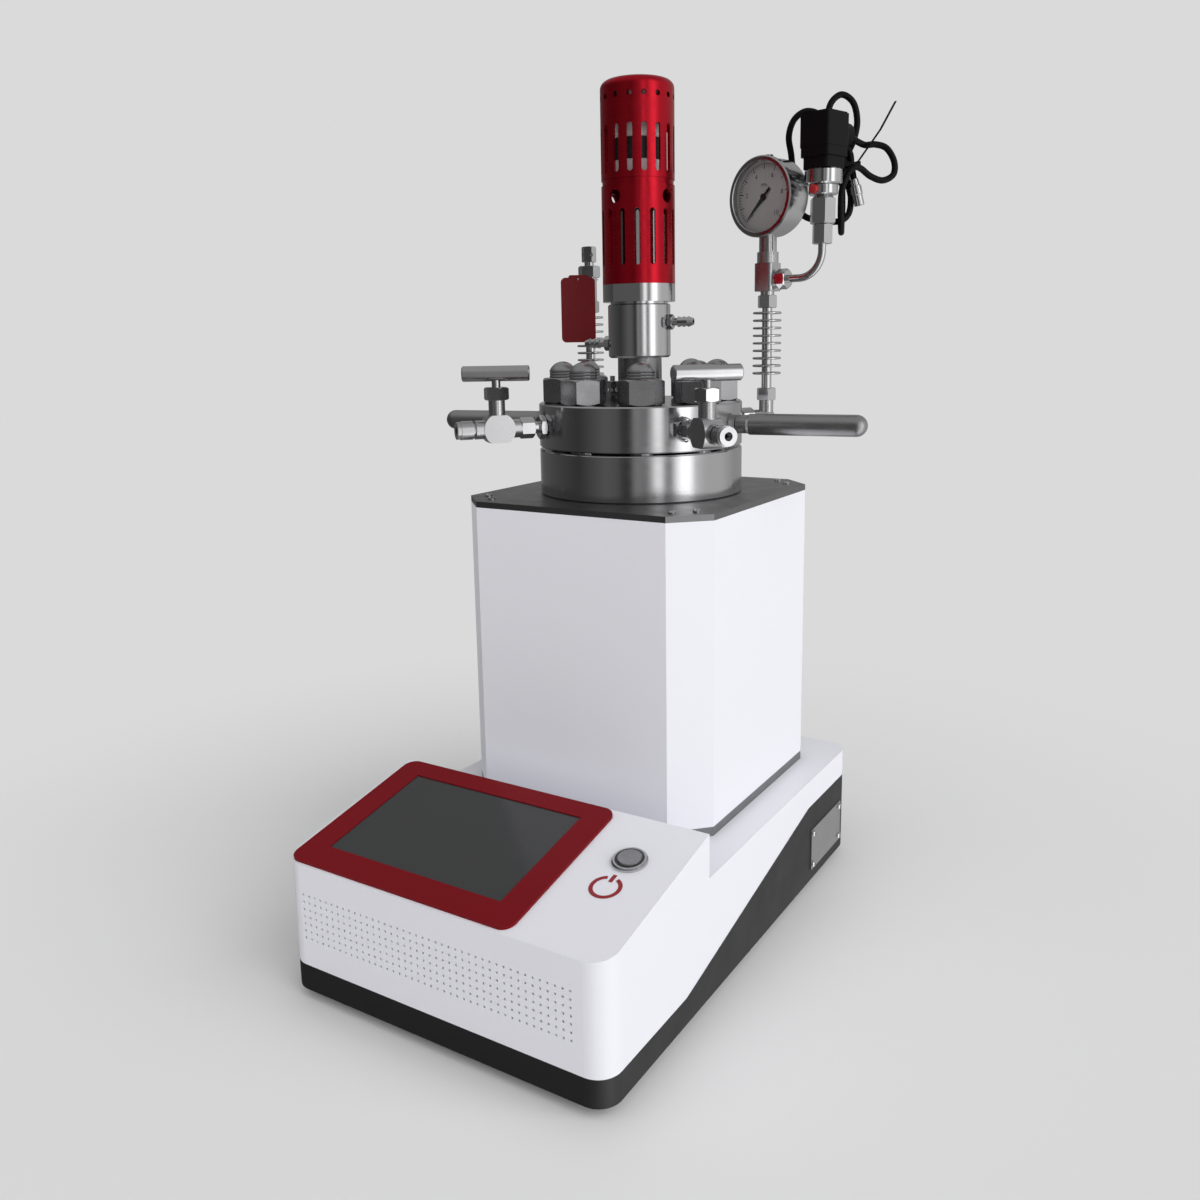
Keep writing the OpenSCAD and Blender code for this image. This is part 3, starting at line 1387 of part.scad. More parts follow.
// Stirrer: inner magnets, shaft and a four-bladed impeller
module stirrer() {
  zi = z_cup + impeller_gap;
  color("silver")
  translate([0, axis_y, 0]) {
    translate([0, 0, zi]) cylinder(d = shaft_d, h = can_top - 2.5 - zi);
    translate([0, 0, z_magnet]) cylinder(r = can_r - can_wall - 0.8, h = magnet_h);
    translate([0, 0, zi - 1]) cylinder(d = shaft_d + 6, h = blade_h + 2);
    for (i = [0:3])
      rotate([0, 0, i * 90]) intersection() {
        translate([shaft_d / 2, 0, zi + blade_h / 2]) rotate([45, 0, 0]) translate([0, -1, -blade_h * 0.7]) cube([impeller_d / 2 - shaft_d / 2, 2, blade_h * 1.4]);
        translate([0, -30, zi]) cube([60, 60, blade_h]);
      }
  }
}

base_tray();
rubber_feet();
console_shell();
screen_bezel();
touch_screen();
display_module();
button_housing();
button_cap();
nameplate();
panel_screws();
mains_inlet();
tower_frame();
tower_shell();
top_plate();
insulation();
heater_block();
vessel_body();
seal_ring();
lid();
studs();
stud_nuts();
handles();
port_connectors();
port_nuts();
left_valve_body();
right_valve_body();
packing_nuts();
left_valve_handle();
right_valve_handle();
column_elbows();
column_nuts();
finned_tubes();
tee();
gauge_case();
gauge_ring();
gauge_dial();
gauge_pointer();
gauge_glass();
sensor_tube();
sensor_adapter();
sensor_body();
sensor_plug();
sensor_cable();
cable_tie();
cable_connector();
disc_holder();
red_tag();
tag_wire();
lid_fittings();
drive_neck();
cooling_jacket();
hose_barbs();
isolation_can();
drive_collar();
cover_lower();
cover_upper();
drive_motor();
motor_band();
outer_magnets();
stirrer();
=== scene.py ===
# %% [markdown]
# # A stirred hydrothermal reactor
# The reactor is a bolted pressure vessel in a heated tower on a touch-screen console.
# Its hard parts come ready made and in place, so this lesson dresses them: it sets the camera and the light,
# gives every part its finish, and adds the fine things, such as threads, dial marks and the cable.

import bpy
import numpy as np
from mathutils import Matrix, Vector


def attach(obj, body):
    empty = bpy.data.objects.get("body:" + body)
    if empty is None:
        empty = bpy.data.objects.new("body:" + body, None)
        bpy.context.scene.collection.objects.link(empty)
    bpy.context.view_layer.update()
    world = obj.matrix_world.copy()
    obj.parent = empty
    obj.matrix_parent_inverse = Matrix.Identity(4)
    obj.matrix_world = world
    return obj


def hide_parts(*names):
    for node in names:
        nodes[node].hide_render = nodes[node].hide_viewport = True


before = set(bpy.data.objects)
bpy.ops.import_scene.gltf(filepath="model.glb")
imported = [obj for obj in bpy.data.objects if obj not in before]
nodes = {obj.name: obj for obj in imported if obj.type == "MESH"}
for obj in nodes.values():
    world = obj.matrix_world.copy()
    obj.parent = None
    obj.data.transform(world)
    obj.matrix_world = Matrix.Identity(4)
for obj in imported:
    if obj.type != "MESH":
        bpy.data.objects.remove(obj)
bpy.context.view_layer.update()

# %% [markdown]
# ## Camera
# The camera stands a little above the lid and looks slightly down, so the console's slope and the lid's top edge
# both show. Its three axes are built from a heading, a tilt and a small roll, and a small shift moves the
# picture without tilting the uprights any more.

# %% Camera
yaw, pitch, roll = np.radians([32.09, 10.54, -0.99])
ahead = np.array([-np.sin(yaw) * np.cos(pitch), np.cos(yaw) * np.cos(pitch), -np.sin(pitch)])
right = np.array([np.cos(yaw), np.sin(yaw), 0.0])
up = np.cross(right, ahead)
tilted_right = right * np.cos(roll) + up * np.sin(roll)
tilted_up = -right * np.sin(roll) + up * np.cos(roll)
place = Matrix([[*row, 0.0] for row in np.column_stack([tilted_right, tilted_up, -ahead]).tolist()] + [[0, 0, 0, 1]])
place.translation = Vector((0.42046, -0.66318, 0.44654))
lens = bpy.data.cameras.new("camera")
lens.lens, lens.sensor_width, lens.shift_y = 32.17, 36.0, -0.05
lens.clip_start, lens.clip_end = 0.05, 60.0
camera = bpy.data.objects.new("camera", lens)
camera.matrix_world = place
bpy.context.scene.collection.objects.link(camera)
bpy.context.scene.camera = camera
print("camera at", [round(v, 3) for v in place.translation])

# %% [markdown]
# ## Sensor cable
# The cable leaves the gland of the sensor's plug, loops twice round and behind it through one strap, and hangs
# down to a small metal connector. Its route is a handful of points, across, behind and above the sensor's axis,
# and a smooth curve is carried through them. Each stretch between two points is a cubic that also looks at one
# point on either side, which keeps the curve from kinking.

# %% Cable route
route = np.array([
    [15, 13.5, 0], [21, 19, 0], [25.5, 23, -0.5], [31, 27, -3], [38, 29, -5.5], [46, 30, -5], [55, 30, -8],
    [61, 29, -18], [60.5, 28, -28], [52, 27, -32.5], [42, 25.5, -29.5], [34, 23.5, -24], [28.5, 21.5, -23],
    [23, 21, -28], [19, 21.5, -40], [18.5, 22, -52], [19.5, 25, -65], [21.5, 32, -71], [23, 38.5, -64],
    [23.5, 39, -52], [22, 34, -36], [21.5, 28.5, -20], [20, 31.5, -12], [15.5, 35.5, 0], [10.5, 37.5, 13],
    [12, 37.5, 27], [20.5, 38, 34], [30, 38.5, 28], [33.5, 38.5, 14], [31, 37.5, 0], [26, 35.5, -11],
    [24, 34, -20], [26.5, 35.5, -33], [29.5, 36.5, -44], [28, 35.5, -56], [21, 31.5, -62], [11, 28, -63],
    [1, 26, -62], [-9, 29, -58], [-15, 36, -47], [-16, 38, -31], [-18, 38.5, -11], [-20.5, 36.5, 3],
    [-17, 35, 15], [-8.5, 33.5, 21], [1, 32, 19], [9, 31, 12], [15, 30, 3], [21, 28, -5], [26, 27.5, -12],
    [27.5, 28.5, -20], [29.5, 29.5, -29], [30, 29.5, -31]]) / 1000
column = np.array([0.1123 * np.cos(np.radians(53)), 0.07 + 0.1123 * np.sin(np.radians(53))])
sensor = column + 0.0492 * np.array([np.cos(np.radians(-10)), np.sin(np.radians(-10))])
gland_height = 0.59880


def to_row(p):
    """Cable places to the row frame: a turn of 32 degrees about the sensor's axis, then its place."""
    c, s = np.cos(np.radians(32)), np.sin(np.radians(32))
    p = np.atleast_2d(p)
    across, back = c * p[:, 0] - s * p[:, 1], s * p[:, 0] + c * p[:, 1]
    return np.column_stack([sensor[0] + across, sensor[1] + back, gland_height + p[:, 2]])


def smooth_path(p, k):
    """Catmull-Rom curve: between two points, half of 2b + (c-a)t + (2a-5b+4c-d)t^2 + (3b-a-3c+d)t^3."""
    padded = np.vstack([p[:1], p, p[-1:]])
    a, b, c, d = (padded[i:len(p) - 1 + i, None, :] for i in range(4))
    t = (np.arange(k) / k)[None, :, None]
    body = 0.5 * (2 * b + (c - a) * t + (2 * a - 5 * b + 4 * c - d) * t**2 + (3 * b - a - 3 * c + d) * t**3)
    return np.vstack([body.reshape(-1, 3), p[-1:]])


line = to_row(smooth_path(route, 8))


def tube(path, radius, sides):
    """A closed round tube along path; radius is one number or one for each point. Returns points and faces."""
    path = np.asarray(path, float)
    radius = np.broadcast_to(radius, len(path))
    run = np.gradient(path, axis=0)
    run /= np.linalg.norm(run, axis=1)[:, None]
    across = np.cross(run[0], [0.3, 0.2, 0.93])
    turn = np.arange(sides) * 2 * np.pi / sides
    points = []
    for here, ahead_of, r in zip(path, run, radius):
        across = across - ahead_of * np.dot(across, ahead_of)
        across /= np.linalg.norm(across)
        third = np.cross(ahead_of, across)
        points.append(here + r * (np.outer(np.cos(turn), across) + np.outer(np.sin(turn), third)))
    n = len(path)
    faces = [[i * sides + k, i * sides + (k + 1) % sides, (i + 1) * sides + (k + 1) % sides, (i + 1) * sides + k]
             for i in range(n - 1) for k in range(sides)]
    faces += [list(range(sides))[::-1], [(n - 1) * sides + k for k in range(sides)]]
    return np.vstack(points), faces


def piece(name, points, faces, body, slot, smooth=True):
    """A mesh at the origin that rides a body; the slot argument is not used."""
    mesh = bpy.data.meshes.new(name)
    mesh.from_pydata(np.asarray(points).tolist(), [], faces)
    mesh.update()
    mesh.polygons.foreach_set("use_smooth", np.full(len(mesh.polygons), smooth))
    obj = bpy.data.objects.new(name, mesh)
    bpy.context.scene.collection.objects.link(obj)
    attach(obj, body)
    print(name, len(mesh.polygons), "faces")
    return obj


# %% Cable
cable = piece("sensor_cable_jacket", *tube(line, 0.0025, 16), "reactor", "cable")
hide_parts("sensor_cable")

# %% [markdown]
# ## Floor and studio
# The reactor stands on a wide pale floor. Polished steel shows nothing but its surroundings, so the studio
# matters more than the metal: a dark side to the left of the camera, and bright strips ahead and to the right,
# give the lid and its fittings their long bands of light and dark. The surroundings are painted on the sky by
# compass direction, so they stay put when the camera walks round.

# %% Floor
floor_rings = np.array([0.0, 0.3, 0.7, 1.5, 3.0, 6.0, 12.0])
turns = np.linspace(0, 2 * np.pi, 97)[:-1]
rim = np.stack([np.outer(floor_rings[1:], np.cos(turns)), np.outer(floor_rings[1:], np.sin(turns))], -1).reshape(-1, 2)
floor_points = np.vstack([[0, 0, 0], np.column_stack([rim, np.zeros(len(rim))])])
inner = [[0, 1 + k, 1 + (k + 1) % 96] for k in range(96)]
outer = [[1 + r * 96 + k, 1 + (r + 1) * 96 + k, 1 + (r + 1) * 96 + (k + 1) % 96, 1 + r * 96 + (k + 1) % 96]
         for r in range(5) for k in range(96)]
floor_mesh = bpy.data.meshes.new("floor")
floor_mesh.from_pydata(floor_points.tolist(), [], inner + outer)
floor = bpy.data.objects.new("floor", floor_mesh)
bpy.context.scene.collection.objects.link(floor)
floor.visible_glossy = False
print("floor faces", len(floor_mesh.polygons))


# %% [markdown]
# ## Building a finish
# A finish is a small graph of nodes. The helpers below keep each finish to a few lines: one makes a material
# with its constant colour and gloss on the shader itself, one adds a node and sets its values, and one turns a
# grey pattern into bumps. A pattern reads Object coordinates, which are metres in the reactor's own frame.

# %% Helpers for finishes
def new_finish(name, colour, metallic=0.0, rough=0.4, **shader):
    """A material whose shader holds its constants; returns the material, its nodes and the shader."""
    mat = bpy.data.materials.new(name)
    mat.use_nodes = True
    tree = mat.node_tree
    bsdf = tree.nodes["Principled BSDF"]
    bsdf.inputs["Base Color"].default_value = (*colour, 1.0)
    bsdf.inputs["Metallic"].default_value = metallic
    bsdf.inputs["Roughness"].default_value = rough
    for key, value in shader.items():
        bsdf.inputs[key.replace("_", " ")].default_value = value
    return mat, tree, bsdf


def add(tree, kind, _inputs=(), **props):
    """A node of that kind with its properties and unlinked input values set."""
    node = tree.nodes.new("ShaderNode" + kind)
    for key, value in props.items():
        setattr(node, key, value)
    for key, value in dict(_inputs).items():
        node.inputs[key].default_value = value
    return node


def coords(tree):
    return add(tree, "TexCoord").outputs["Object"]


def noise(tree, vector, scale, detail=3.0, rough=0.55):
    node = add(tree, "TexNoise", {"Scale": scale, "Detail": detail, "Roughness": rough})
    tree.links.new(vector, node.inputs["Vector"])
    return node.outputs["Fac"]


def spread(tree, value, low, high, start=0.3, end=0.7):
    """Map a grey pattern from start..end to low..high."""
    node = add(tree, "MapRange", {1: start, 2: end, 3: low, 4: high})
    tree.links.new(value, node.inputs[0])
    return node.outputs[0]


def bump(tree, bsdf, height, depth, strength=1.0, after=None):
    """Small hills of that depth in metres; after chains a second, finer layer onto the first."""
    node = add(tree, "Bump", {"Strength": strength, "Distance": depth})
    tree.links.new(height, node.inputs["Height"])
    if after is not None:
        tree.links.new(after, node.inputs["Normal"])
    tree.links.new(node.outputs["Normal"], bsdf.inputs["Normal"])
    return node.outputs["Normal"]


def dress(mat, *names):
    """Give CAD parts this finish in every slot they have."""
    for name in names:
        mesh = nodes[name].data
        if not mesh.materials:
            mesh.materials.append(mat)
        for i in range(len(mesh.materials)):
            mesh.materials[i] = mat
    print(mat.name, "on", ", ".join(names))


# %% Floor finish and studio sky
paper, tree, bsdf = new_finish("floor_paper", (0.77, 0.77, 0.77), rough=0.9, Specular_IOR_Level=0.0)
far = add(tree, "VectorMath", operation="LENGTH")
tree.links.new(coords(tree), far.inputs[0])
fade = spread(tree, far.outputs["Value"], 0.0, 1.0, 0.28, 0.75)
glow = add(tree, "Emission", {"Color": (0.70, 0.70, 0.70, 1), "Strength": 1.0})
blend = add(tree, "MixShader")
tree.links.new(fade, blend.inputs["Fac"])
tree.links.new(bsdf.outputs[0], blend.inputs[1])
tree.links.new(glow.outputs[0], blend.inputs[2])
tree.links.new(blend.outputs[0], tree.nodes["Material Output"].inputs["Surface"])
floor_mesh.materials.append(paper)

world = bpy.data.worlds.new("studio")
bpy.context.scene.world = world
world.use_nodes = True
sky = world.node_tree
sky.nodes.clear()
look = sky.nodes.new("ShaderNodeTexCoord").outputs["Generated"]
parts = sky.nodes.new("ShaderNodeSeparateXYZ")
sky.links.new(look, parts.inputs[0])
# Compass angle, turned so that 0.5 is the direction from the vessel to the camera
angle = add(sky, "Math", operation="ARCTAN2")
sky.links.new(parts.outputs["Y"], angle.inputs[0])
sky.links.new(parts.outputs["X"], angle.inputs[1])
turned = add(sky, "Math", {1: np.radians(57.9) + np.pi}, operation="ADD")
sky.links.new(angle.outputs[0], turned.inputs[0])
whole = add(sky, "Math", {1: 2 * np.pi}, operation="DIVIDE")
sky.links.new(turned.outputs[0], whole.inputs[0])
wrapped = add(sky, "Math", operation="FRACT")
sky.links.new(whole.outputs[0], wrapped.inputs[0])
bands = add(sky, "ValToRGB")
sky.links.new(wrapped.outputs[0], bands.inputs["Fac"])
stops = [(-180, 0.30), (-150, 0.12), (-124, 0.10), (-95, 0.07), (-75, 0.05), (-55, 0.10), (-42, 0.14), (-28, 0.12),
         (-21, 0.05), (-14, 0.05), (-8, 0.32), (4, 0.20), (10, 0.6), (14, 1.3), (20, 1.3), (25, 0.35), (31, 0.30),
         (38, 1.25), (43, 1.9), (54, 1.9), (61, 0.8), (75, 0.60), (100, 0.60), (125, 0.40), (146, 0.36), (166, 0.30)]
ramp = bands.color_ramp
while len(ramp.elements) > 1:
    ramp.elements.remove(ramp.elements[-1])
ramp.elements[0].position = 0.0
for i, (deg, grey) in enumerate(stops):
    stop = ramp.elements[0] if i == 0 else ramp.elements.new((deg + 180) / 360)
    stop.color = (grey, grey, grey, 1)
print("sky bands", len(ramp.elements))

# %% [markdown]
# Overhead the sky is an even soft box. Rays that only carry soft light see an even pale room, and the camera
# sees the same plain grey as the floor, so the two meet without a line.

# %% Sky layers
over = spread(sky, parts.outputs["Z"], 0.0, 1.0, 0.35, 0.75)
mixed = add(sky, "Mix", {6: (0, 0, 0, 1), 7: (0.40, 0.40, 0.40, 1)}, data_type="RGBA")
sky.links.new(over, mixed.inputs[0])
sky.links.new(bands.outputs["Color"], mixed.inputs[6])
seen = add(sky, "LightPath")
shiny = add(sky, "Background", {"Strength": 1.0})
sky.links.new(mixed.outputs[2], shiny.inputs["Color"])
soft = add(sky, "Background", {"Color": (0.74, 0.74, 0.74, 1), "Strength": 0.59})
plain = add(sky, "Background", {"Color": (0.70, 0.70, 0.70, 1), "Strength": 1.0})
first = add(sky, "MixShader")
sky.links.new(seen.outputs["Is Diffuse Ray"], first.inputs["Fac"])
sky.links.new(shiny.outputs[0], first.inputs[1])
sky.links.new(soft.outputs[0], first.inputs[2])
second = add(sky, "MixShader")
sky.links.new(seen.outputs["Is Camera Ray"], second.inputs["Fac"])
sky.links.new(first.outputs[0], second.inputs[1])
sky.links.new(plain.outputs[0], second.inputs[2])
out = sky.nodes.new("ShaderNodeOutputWorld")
sky.links.new(second.outputs[0], out.inputs["Surface"])


def wide_sun(name, toward, spread_deg, strength):
    """A sun whose light comes from that direction, spread wide so that its shadows melt away."""
    lamp = bpy.data.lights.new(name, "SUN")
    lamp.angle, lamp.energy = np.radians(spread_deg), strength
    obj = bpy.data.objects.new(name, lamp)
    obj.rotation_euler = Vector(toward).to_track_quat("Z", "Y").to_euler()
    obj.location = Vector(toward) * 2
    obj.visible_glossy = False
    bpy.context.scene.collection.objects.link(obj)


wide_sun("key_right", (0.87, -0.14, 0.43), 70, 2.36)
wide_sun("fill_front", (-0.25, -0.8, 0.55), 80, 0.44)
bpy.context.scene.view_settings.view_transform = "Standard"
print("lights ready")

# %% [markdown]
# ## Painted and moulded finishes
# The housings are sheet metal with a white powder coat, which dries with a very fine orange peel. The tray below
# them is dark moulded plastic with a light grain. The bezel is a printed red panel and the screen behind it is
# dark glass that is switched off.

# %% Paint and plastic
white, tree, bsdf = new_finish("white_powder", (0.77, 0.77, 0.82), rough=0.45, Specular_IOR_Level=0.35)
peel = noise(tree, coords(tree), 900, detail=2)
bump(tree, bsdf, peel, 0.00006, 0.35)
dress(white, "console_shell", "tower_shell")

tray, tree, bsdf = new_finish("tray_plastic", (0.014, 0.014, 0.015), rough=0.5)
grain = noise(tree, coords(tree), 1500, detail=2)
bump(tree, bsdf, grain, 0.00005, 0.4)
tree.links.new(spread(tree, noise(tree, coords(tree), 30), 0.44, 0.56), bsdf.inputs["Roughness"])
dress(tray, "base_tray", "display_module")

rubber, tree, bsdf = new_finish("foot_rubber", (0.018, 0.018, 0.018), rough=0.8)
bump(tree, bsdf, noise(tree, coords(tree), 1200), 0.00008, 0.5)
dress(rubber, "rubber_feet", "seal_ring")

panel_red, tree, bsdf = new_finish("bezel_red", (0.170, 0.006, 0.010), rough=0.34, Specular_IOR_Level=0.06)
tree.links.new(spread(tree, noise(tree, coords(tree), 60), 0.30, 0.40), bsdf.inputs["Roughness"])
dress(panel_red, "screen_bezel")

screen, tree, bsdf = new_finish("screen_glass", (0.030, 0.031, 0.032), rough=0.16)
tree.links.new(spread(tree, noise(tree, coords(tree), 45, 5), 0.13, 0.24), bsdf.inputs["Roughness"])
dress(screen, "touch_screen")

black, tree, bsdf = new_finish("black_plastic", (0.0035, 0.0035, 0.004), rough=0.42, Specular_IOR_Level=0.14)
bump(tree, bsdf, noise(tree, coords(tree), 1800, 2), 0.00004, 0.4)
dress(black, "sensor_plug", "cable_tie", "mains_inlet", "sensor_cable")
jacket = black.copy()
jacket.name = "cable_jacket"
jacket.node_tree.nodes["Principled BSDF"].inputs["Roughness"].default_value = 0.38
cable.data.materials.append(jacket)

tag_red, tree, bsdf = new_finish("tag_red", (0.185, 0.008, 0.012), rough=0.4, metallic=0.3)
tree.links.new(spread(tree, noise(tree, coords(tree), 120, 4), 0.30, 0.48), bsdf.inputs["Roughness"])
dress(tag_red, "red_tag")

wool, tree, bsdf = new_finish("mineral_wool", (0.48, 0.44, 0.34), rough=0.95)
bump(tree, bsdf, noise(tree, coords(tree), 220, 8, 0.75), 0.001, 0.8)
dress(wool, "insulation")

# %% [markdown]
# ## Metals
# The lid and the vessel are turned on a lathe, so every face keeps fine rings about the vessel's axis. One noise
# does it for flat tops and round sides alike: it reads only the distance from the axis and the height. Loose
# nuts, valves and fittings are polished bright, and the clamped parts below the drive are ground darker.

# %% Turned, polished and dark steel


def rings(tree, centre, fine=2600):
    """Grey rings about a vertical axis through centre: a noise of distance and height only."""
    shift = add(tree, "VectorMath", {1: (-centre[0], -centre[1], 0)}, operation="ADD")
    tree.links.new(coords(tree), shift.inputs[0])
    flat = add(tree, "VectorMath", {1: (1, 1, 0)}, operation="MULTIPLY")
    tree.links.new(shift.outputs[0], flat.inputs[0])
    reach = add(tree, "VectorMath", operation="LENGTH")
    tree.links.new(flat.outputs[0], reach.inputs[0])
    split = add(tree, "SeparateXYZ")
    tree.links.new(shift.outputs[0], split.inputs[0])
    pair = add(tree, "CombineXYZ")
    tree.links.new(reach.outputs["Value"], pair.inputs["X"])
    tree.links.new(split.outputs["Z"], pair.inputs["Z"])
    return noise(tree, pair.outputs[0], fine, 4, 0.6), noise(tree, pair.outputs[0], 160, 3)


def turned_steel(name, centre, colour, rough, depth=0.00003):
    mat, tree, bsdf = new_finish(name, colour, metallic=1.0, rough=rough)
    fine, broad = rings(tree, centre)
    first = bump(tree, bsdf, fine, depth, 0.8)
    bump(tree, bsdf, noise(tree, coords(tree), 90, 4), 0.0001, 0.06, after=first)
    wear = add(tree, "Math", operation="MULTIPLY")
    tree.links.new(spread(tree, broad, 0.8, 1.25), wear.inputs[0])
    tree.links.new(spread(tree, noise(tree, coords(tree), 35, 6), rough * 0.8, rough * 1.3), wear.inputs[1])
    tree.links.new(wear.outputs[0], bsdf.inputs["Roughness"])
    return mat


vessel_axis = (0.0, 0.07)
lid_steel = turned_steel("lid_steel", vessel_axis, (0.55, 0.55, 0.56), 0.13)
dress(lid_steel, "lid", "vessel_body")
drive_steel = turned_steel("drive_steel", vessel_axis, (0.60, 0.60, 0.61), 0.12)
dress(drive_steel, "cooling_jacket", "drive_collar", "isolation_can", "stirrer")
neck_steel = turned_steel("neck_steel", vessel_axis, (0.33, 0.33, 0.34), 0.25)
dress(neck_steel, "drive_neck", "heater_block")


def plain_steel(name, colour, low, high, scale=70, peel=0.1):
    mat, tree, bsdf = new_finish(name, colour, metallic=1.0, rough=low)
    tree.links.new(spread(tree, noise(tree, coords(tree), scale, 5), low, high), bsdf.inputs["Roughness"])
    bump(tree, bsdf, noise(tree, coords(tree), 700, 3), 0.00004, peel)
    return mat


bright = plain_steel("polished_steel", (0.62, 0.62, 0.63), 0.10, 0.20)
dress(bright, "port_connectors", "port_nuts", "packing_nuts", "hose_barbs", "column_nuts", "sensor_adapter",
      "sensor_body", "lid_fittings", "cable_connector", "sensor_tube", "finned_tubes", "disc_holder", "tag_wire",
      "panel_screws", "outer_magnets")
forged = plain_steel("forged_steel", (0.58, 0.58, 0.59), 0.24, 0.34)
dress(forged, "left_valve_body", "right_valve_body", "tee", "column_elbows")
nut_steel = plain_steel("nut_steel", (0.44, 0.44, 0.45), 0.20, 0.32, peel=0.05)
dress(nut_steel, "stud_nuts", "studs")
bar_steel = plain_steel("handle_steel", (0.55, 0.55, 0.56), 0.12, 0.22)
dress(bar_steel, "left_valve_handle", "right_valve_handle", "button_housing", "gauge_case",
      "gauge_ring")
button_steel = plain_steel("button_steel", (0.36, 0.36, 0.37), 0.2, 0.32)
dress(button_steel, "button_cap")
grip_steel = plain_steel("grip_steel", (0.42, 0.42, 0.42), 0.26, 0.4)
dress(grip_steel, "handles")
plate_steel = plain_steel("plate_steel", (0.27, 0.27, 0.275), 0.3, 0.42)
dress(plate_steel, "top_plate", "tower_frame")
label_steel = plain_steel("label_steel", (0.55, 0.55, 0.55), 0.3, 0.45)
dress(label_steel, "nameplate")

red_metal, tree, bsdf = new_finish("red_anodised", (0.46, 0.008, 0.020), metallic=0.9, rough=0.26)
fine, broad = rings(tree, vessel_axis, 3200)
bump(tree, bsdf, fine, 0.00002, 0.6)
tree.links.new(spread(tree, broad, 0.22, 0.32), bsdf.inputs["Roughness"])
dress(red_metal, "cover_lower", "cover_upper")
motor, tree, bsdf = new_finish("motor_white", (0.72, 0.72, 0.71), rough=0.4)
bump(tree, bsdf, noise(tree, coords(tree), 800), 0.00005, 0.3)
dress(motor, "drive_motor")
band, tree, bsdf = new_finish("motor_band", (0.02, 0.02, 0.022), rough=0.5)
bump(tree, bsdf, noise(tree, coords(tree), 800), 0.00005, 0.3)
dress(band, "motor_band")

dial, tree, bsdf = new_finish("dial_face", (0.62, 0.62, 0.62), rough=0.5)
tree.links.new(spread(tree, noise(tree, coords(tree), 90), 0.45, 0.55), bsdf.inputs["Roughness"])
dress(dial, "gauge_dial")
ink, tree, bsdf = new_finish("ink_black", (0.012, 0.012, 0.012), rough=0.5)
dress(ink, "gauge_pointer")
pane, tree, bsdf = new_finish("gauge_pane", (1.0, 1.0, 1.0), rough=0.02, Transmission_Weight=1.0, IOR=1.45)
dress(pane, "gauge_glass")

# %% [markdown]
# ## Printing on the console
# Beside the push button a power mark is printed in red: an open ring and a bar through its gap. It lies on the
# slope, so it is drawn flat and then carried there by the same tilt. A near-black ring laid in the gap between
# the button's cap and its bright housing is painted shade: it stands in for the shadow down in that gap.

# %% Console marks
slope_tilt = np.radians(11.226)


def on_slope(points):
    """Points across, up the slope and above it, in metres, carried onto the console's slope."""
    p = np.atleast_2d(points)
    c, s = np.cos(slope_tilt), np.sin(slope_tilt)
    return np.column_stack([p[:, 0], -0.202 + c * p[:, 1] - s * p[:, 2], 0.101 + s * p[:, 1] + c * p[:, 2]])


def band_faces(steps, closed=True):
    """Faces of a flat band whose points run outer, inner, outer, inner."""
    count = steps if closed else steps - 1
    return [[2 * i, 2 * ((i + 1) % steps), 2 * ((i + 1) % steps) + 1, 2 * i + 1] for i in range(count)]


def arc_band(centre, inner, outer, height, start, stop, steps):
    """A flat ring or arc on the slope, angles in degrees from across towards up the slope."""
    a = np.radians(np.linspace(start, stop, steps, endpoint=abs(stop - start) < 359.9))
    spots = np.empty((2 * steps, 3))
    for k, r in enumerate((outer, inner)):
        spots[k::2] = np.column_stack([centre[0] + r * np.cos(a), centre[1] + r * np.sin(a), np.full(steps, height)])
    return on_slope(spots), band_faces(steps, abs(stop - start) > 359.9)


print_red, tree, bsdf = new_finish("print_red", (0.27, 0.008, 0.014), rough=0.45)
# Near-black colour for the ring below, which paints the shade in the button's gap
gap_shade_paint, tree, bsdf = new_finish("painted_gap_shade", (0.02, 0.02, 0.022), rough=0.35)
mark = np.array([0.0935, 0.0608])
arc, arc_faces = arc_band(mark, 0.0080, 0.0108, 0.00015, 112, 428, 49)
bar = on_slope([[mark[0] + x, mark[1] + y, 0.00015] for x, y in
                ((-0.0014, 0.0052), (0.0014, 0.0052), (0.0014, 0.0126), (-0.0014, 0.0126))])
power = piece("power_mark", np.vstack([arc, bar]), arc_faces + [[len(arc) + k for k in range(4)]], "reactor",
              "red_bezel", smooth=False)
power.data.materials.append(print_red)

button_place = (0.095, 0.089)
# Painted shade: a flat dark ring laid over the gap round the button's cap
gap, gap_faces = arc_band(button_place, 0.00825, 0.0098, 0.00258, 0, 360, 48)
gap_ring = piece("painted_shade_ring", gap, gap_faces, "reactor", "dark_panel", smooth=False)
gap_ring.data.materials.append(gap_shade_paint)
print("console marks ready")

# %% [markdown]
# ## Dial
# The gauge's dial carries a scale of ticks over three quarters of a turn, with a long tick and a plain number at
# every fifth. Its own frame has one axis out of the dial, one to the reader's right and one up. Numbers are
# built as text, turned into meshes and laid a hair above the dial.

# %% Dial marks
dial_angle = np.radians(-106.0)
dial_out = np.array([np.cos(dial_angle), np.sin(dial_angle), 0.0])
dial_right = np.array([-np.sin(dial_angle), np.cos(dial_angle), 0.0])
dial_up = np.array([0.0, 0.0, 1.0])
dial_centre = np.array([column[0], column[1], 0.55555]) + dial_out * 0.0048


def on_dial(points, lift=0.00012):
    p = np.atleast_2d(points)
    return dial_centre + np.outer(p[:, 0], dial_right) + np.outer(p[:, 1], dial_up) + dial_out * lift


def bar_mark(angle, r0, r1, half):
    """A radial tick as four corners, angle in radians clockwise from the top."""
    along, side = np.array([np.sin(angle), np.cos(angle)]), np.array([np.cos(angle), -np.sin(angle)])
    return [along * r0 - side * half, along * r1 - side * half, along * r1 + side * half, along * r0 + side * half]


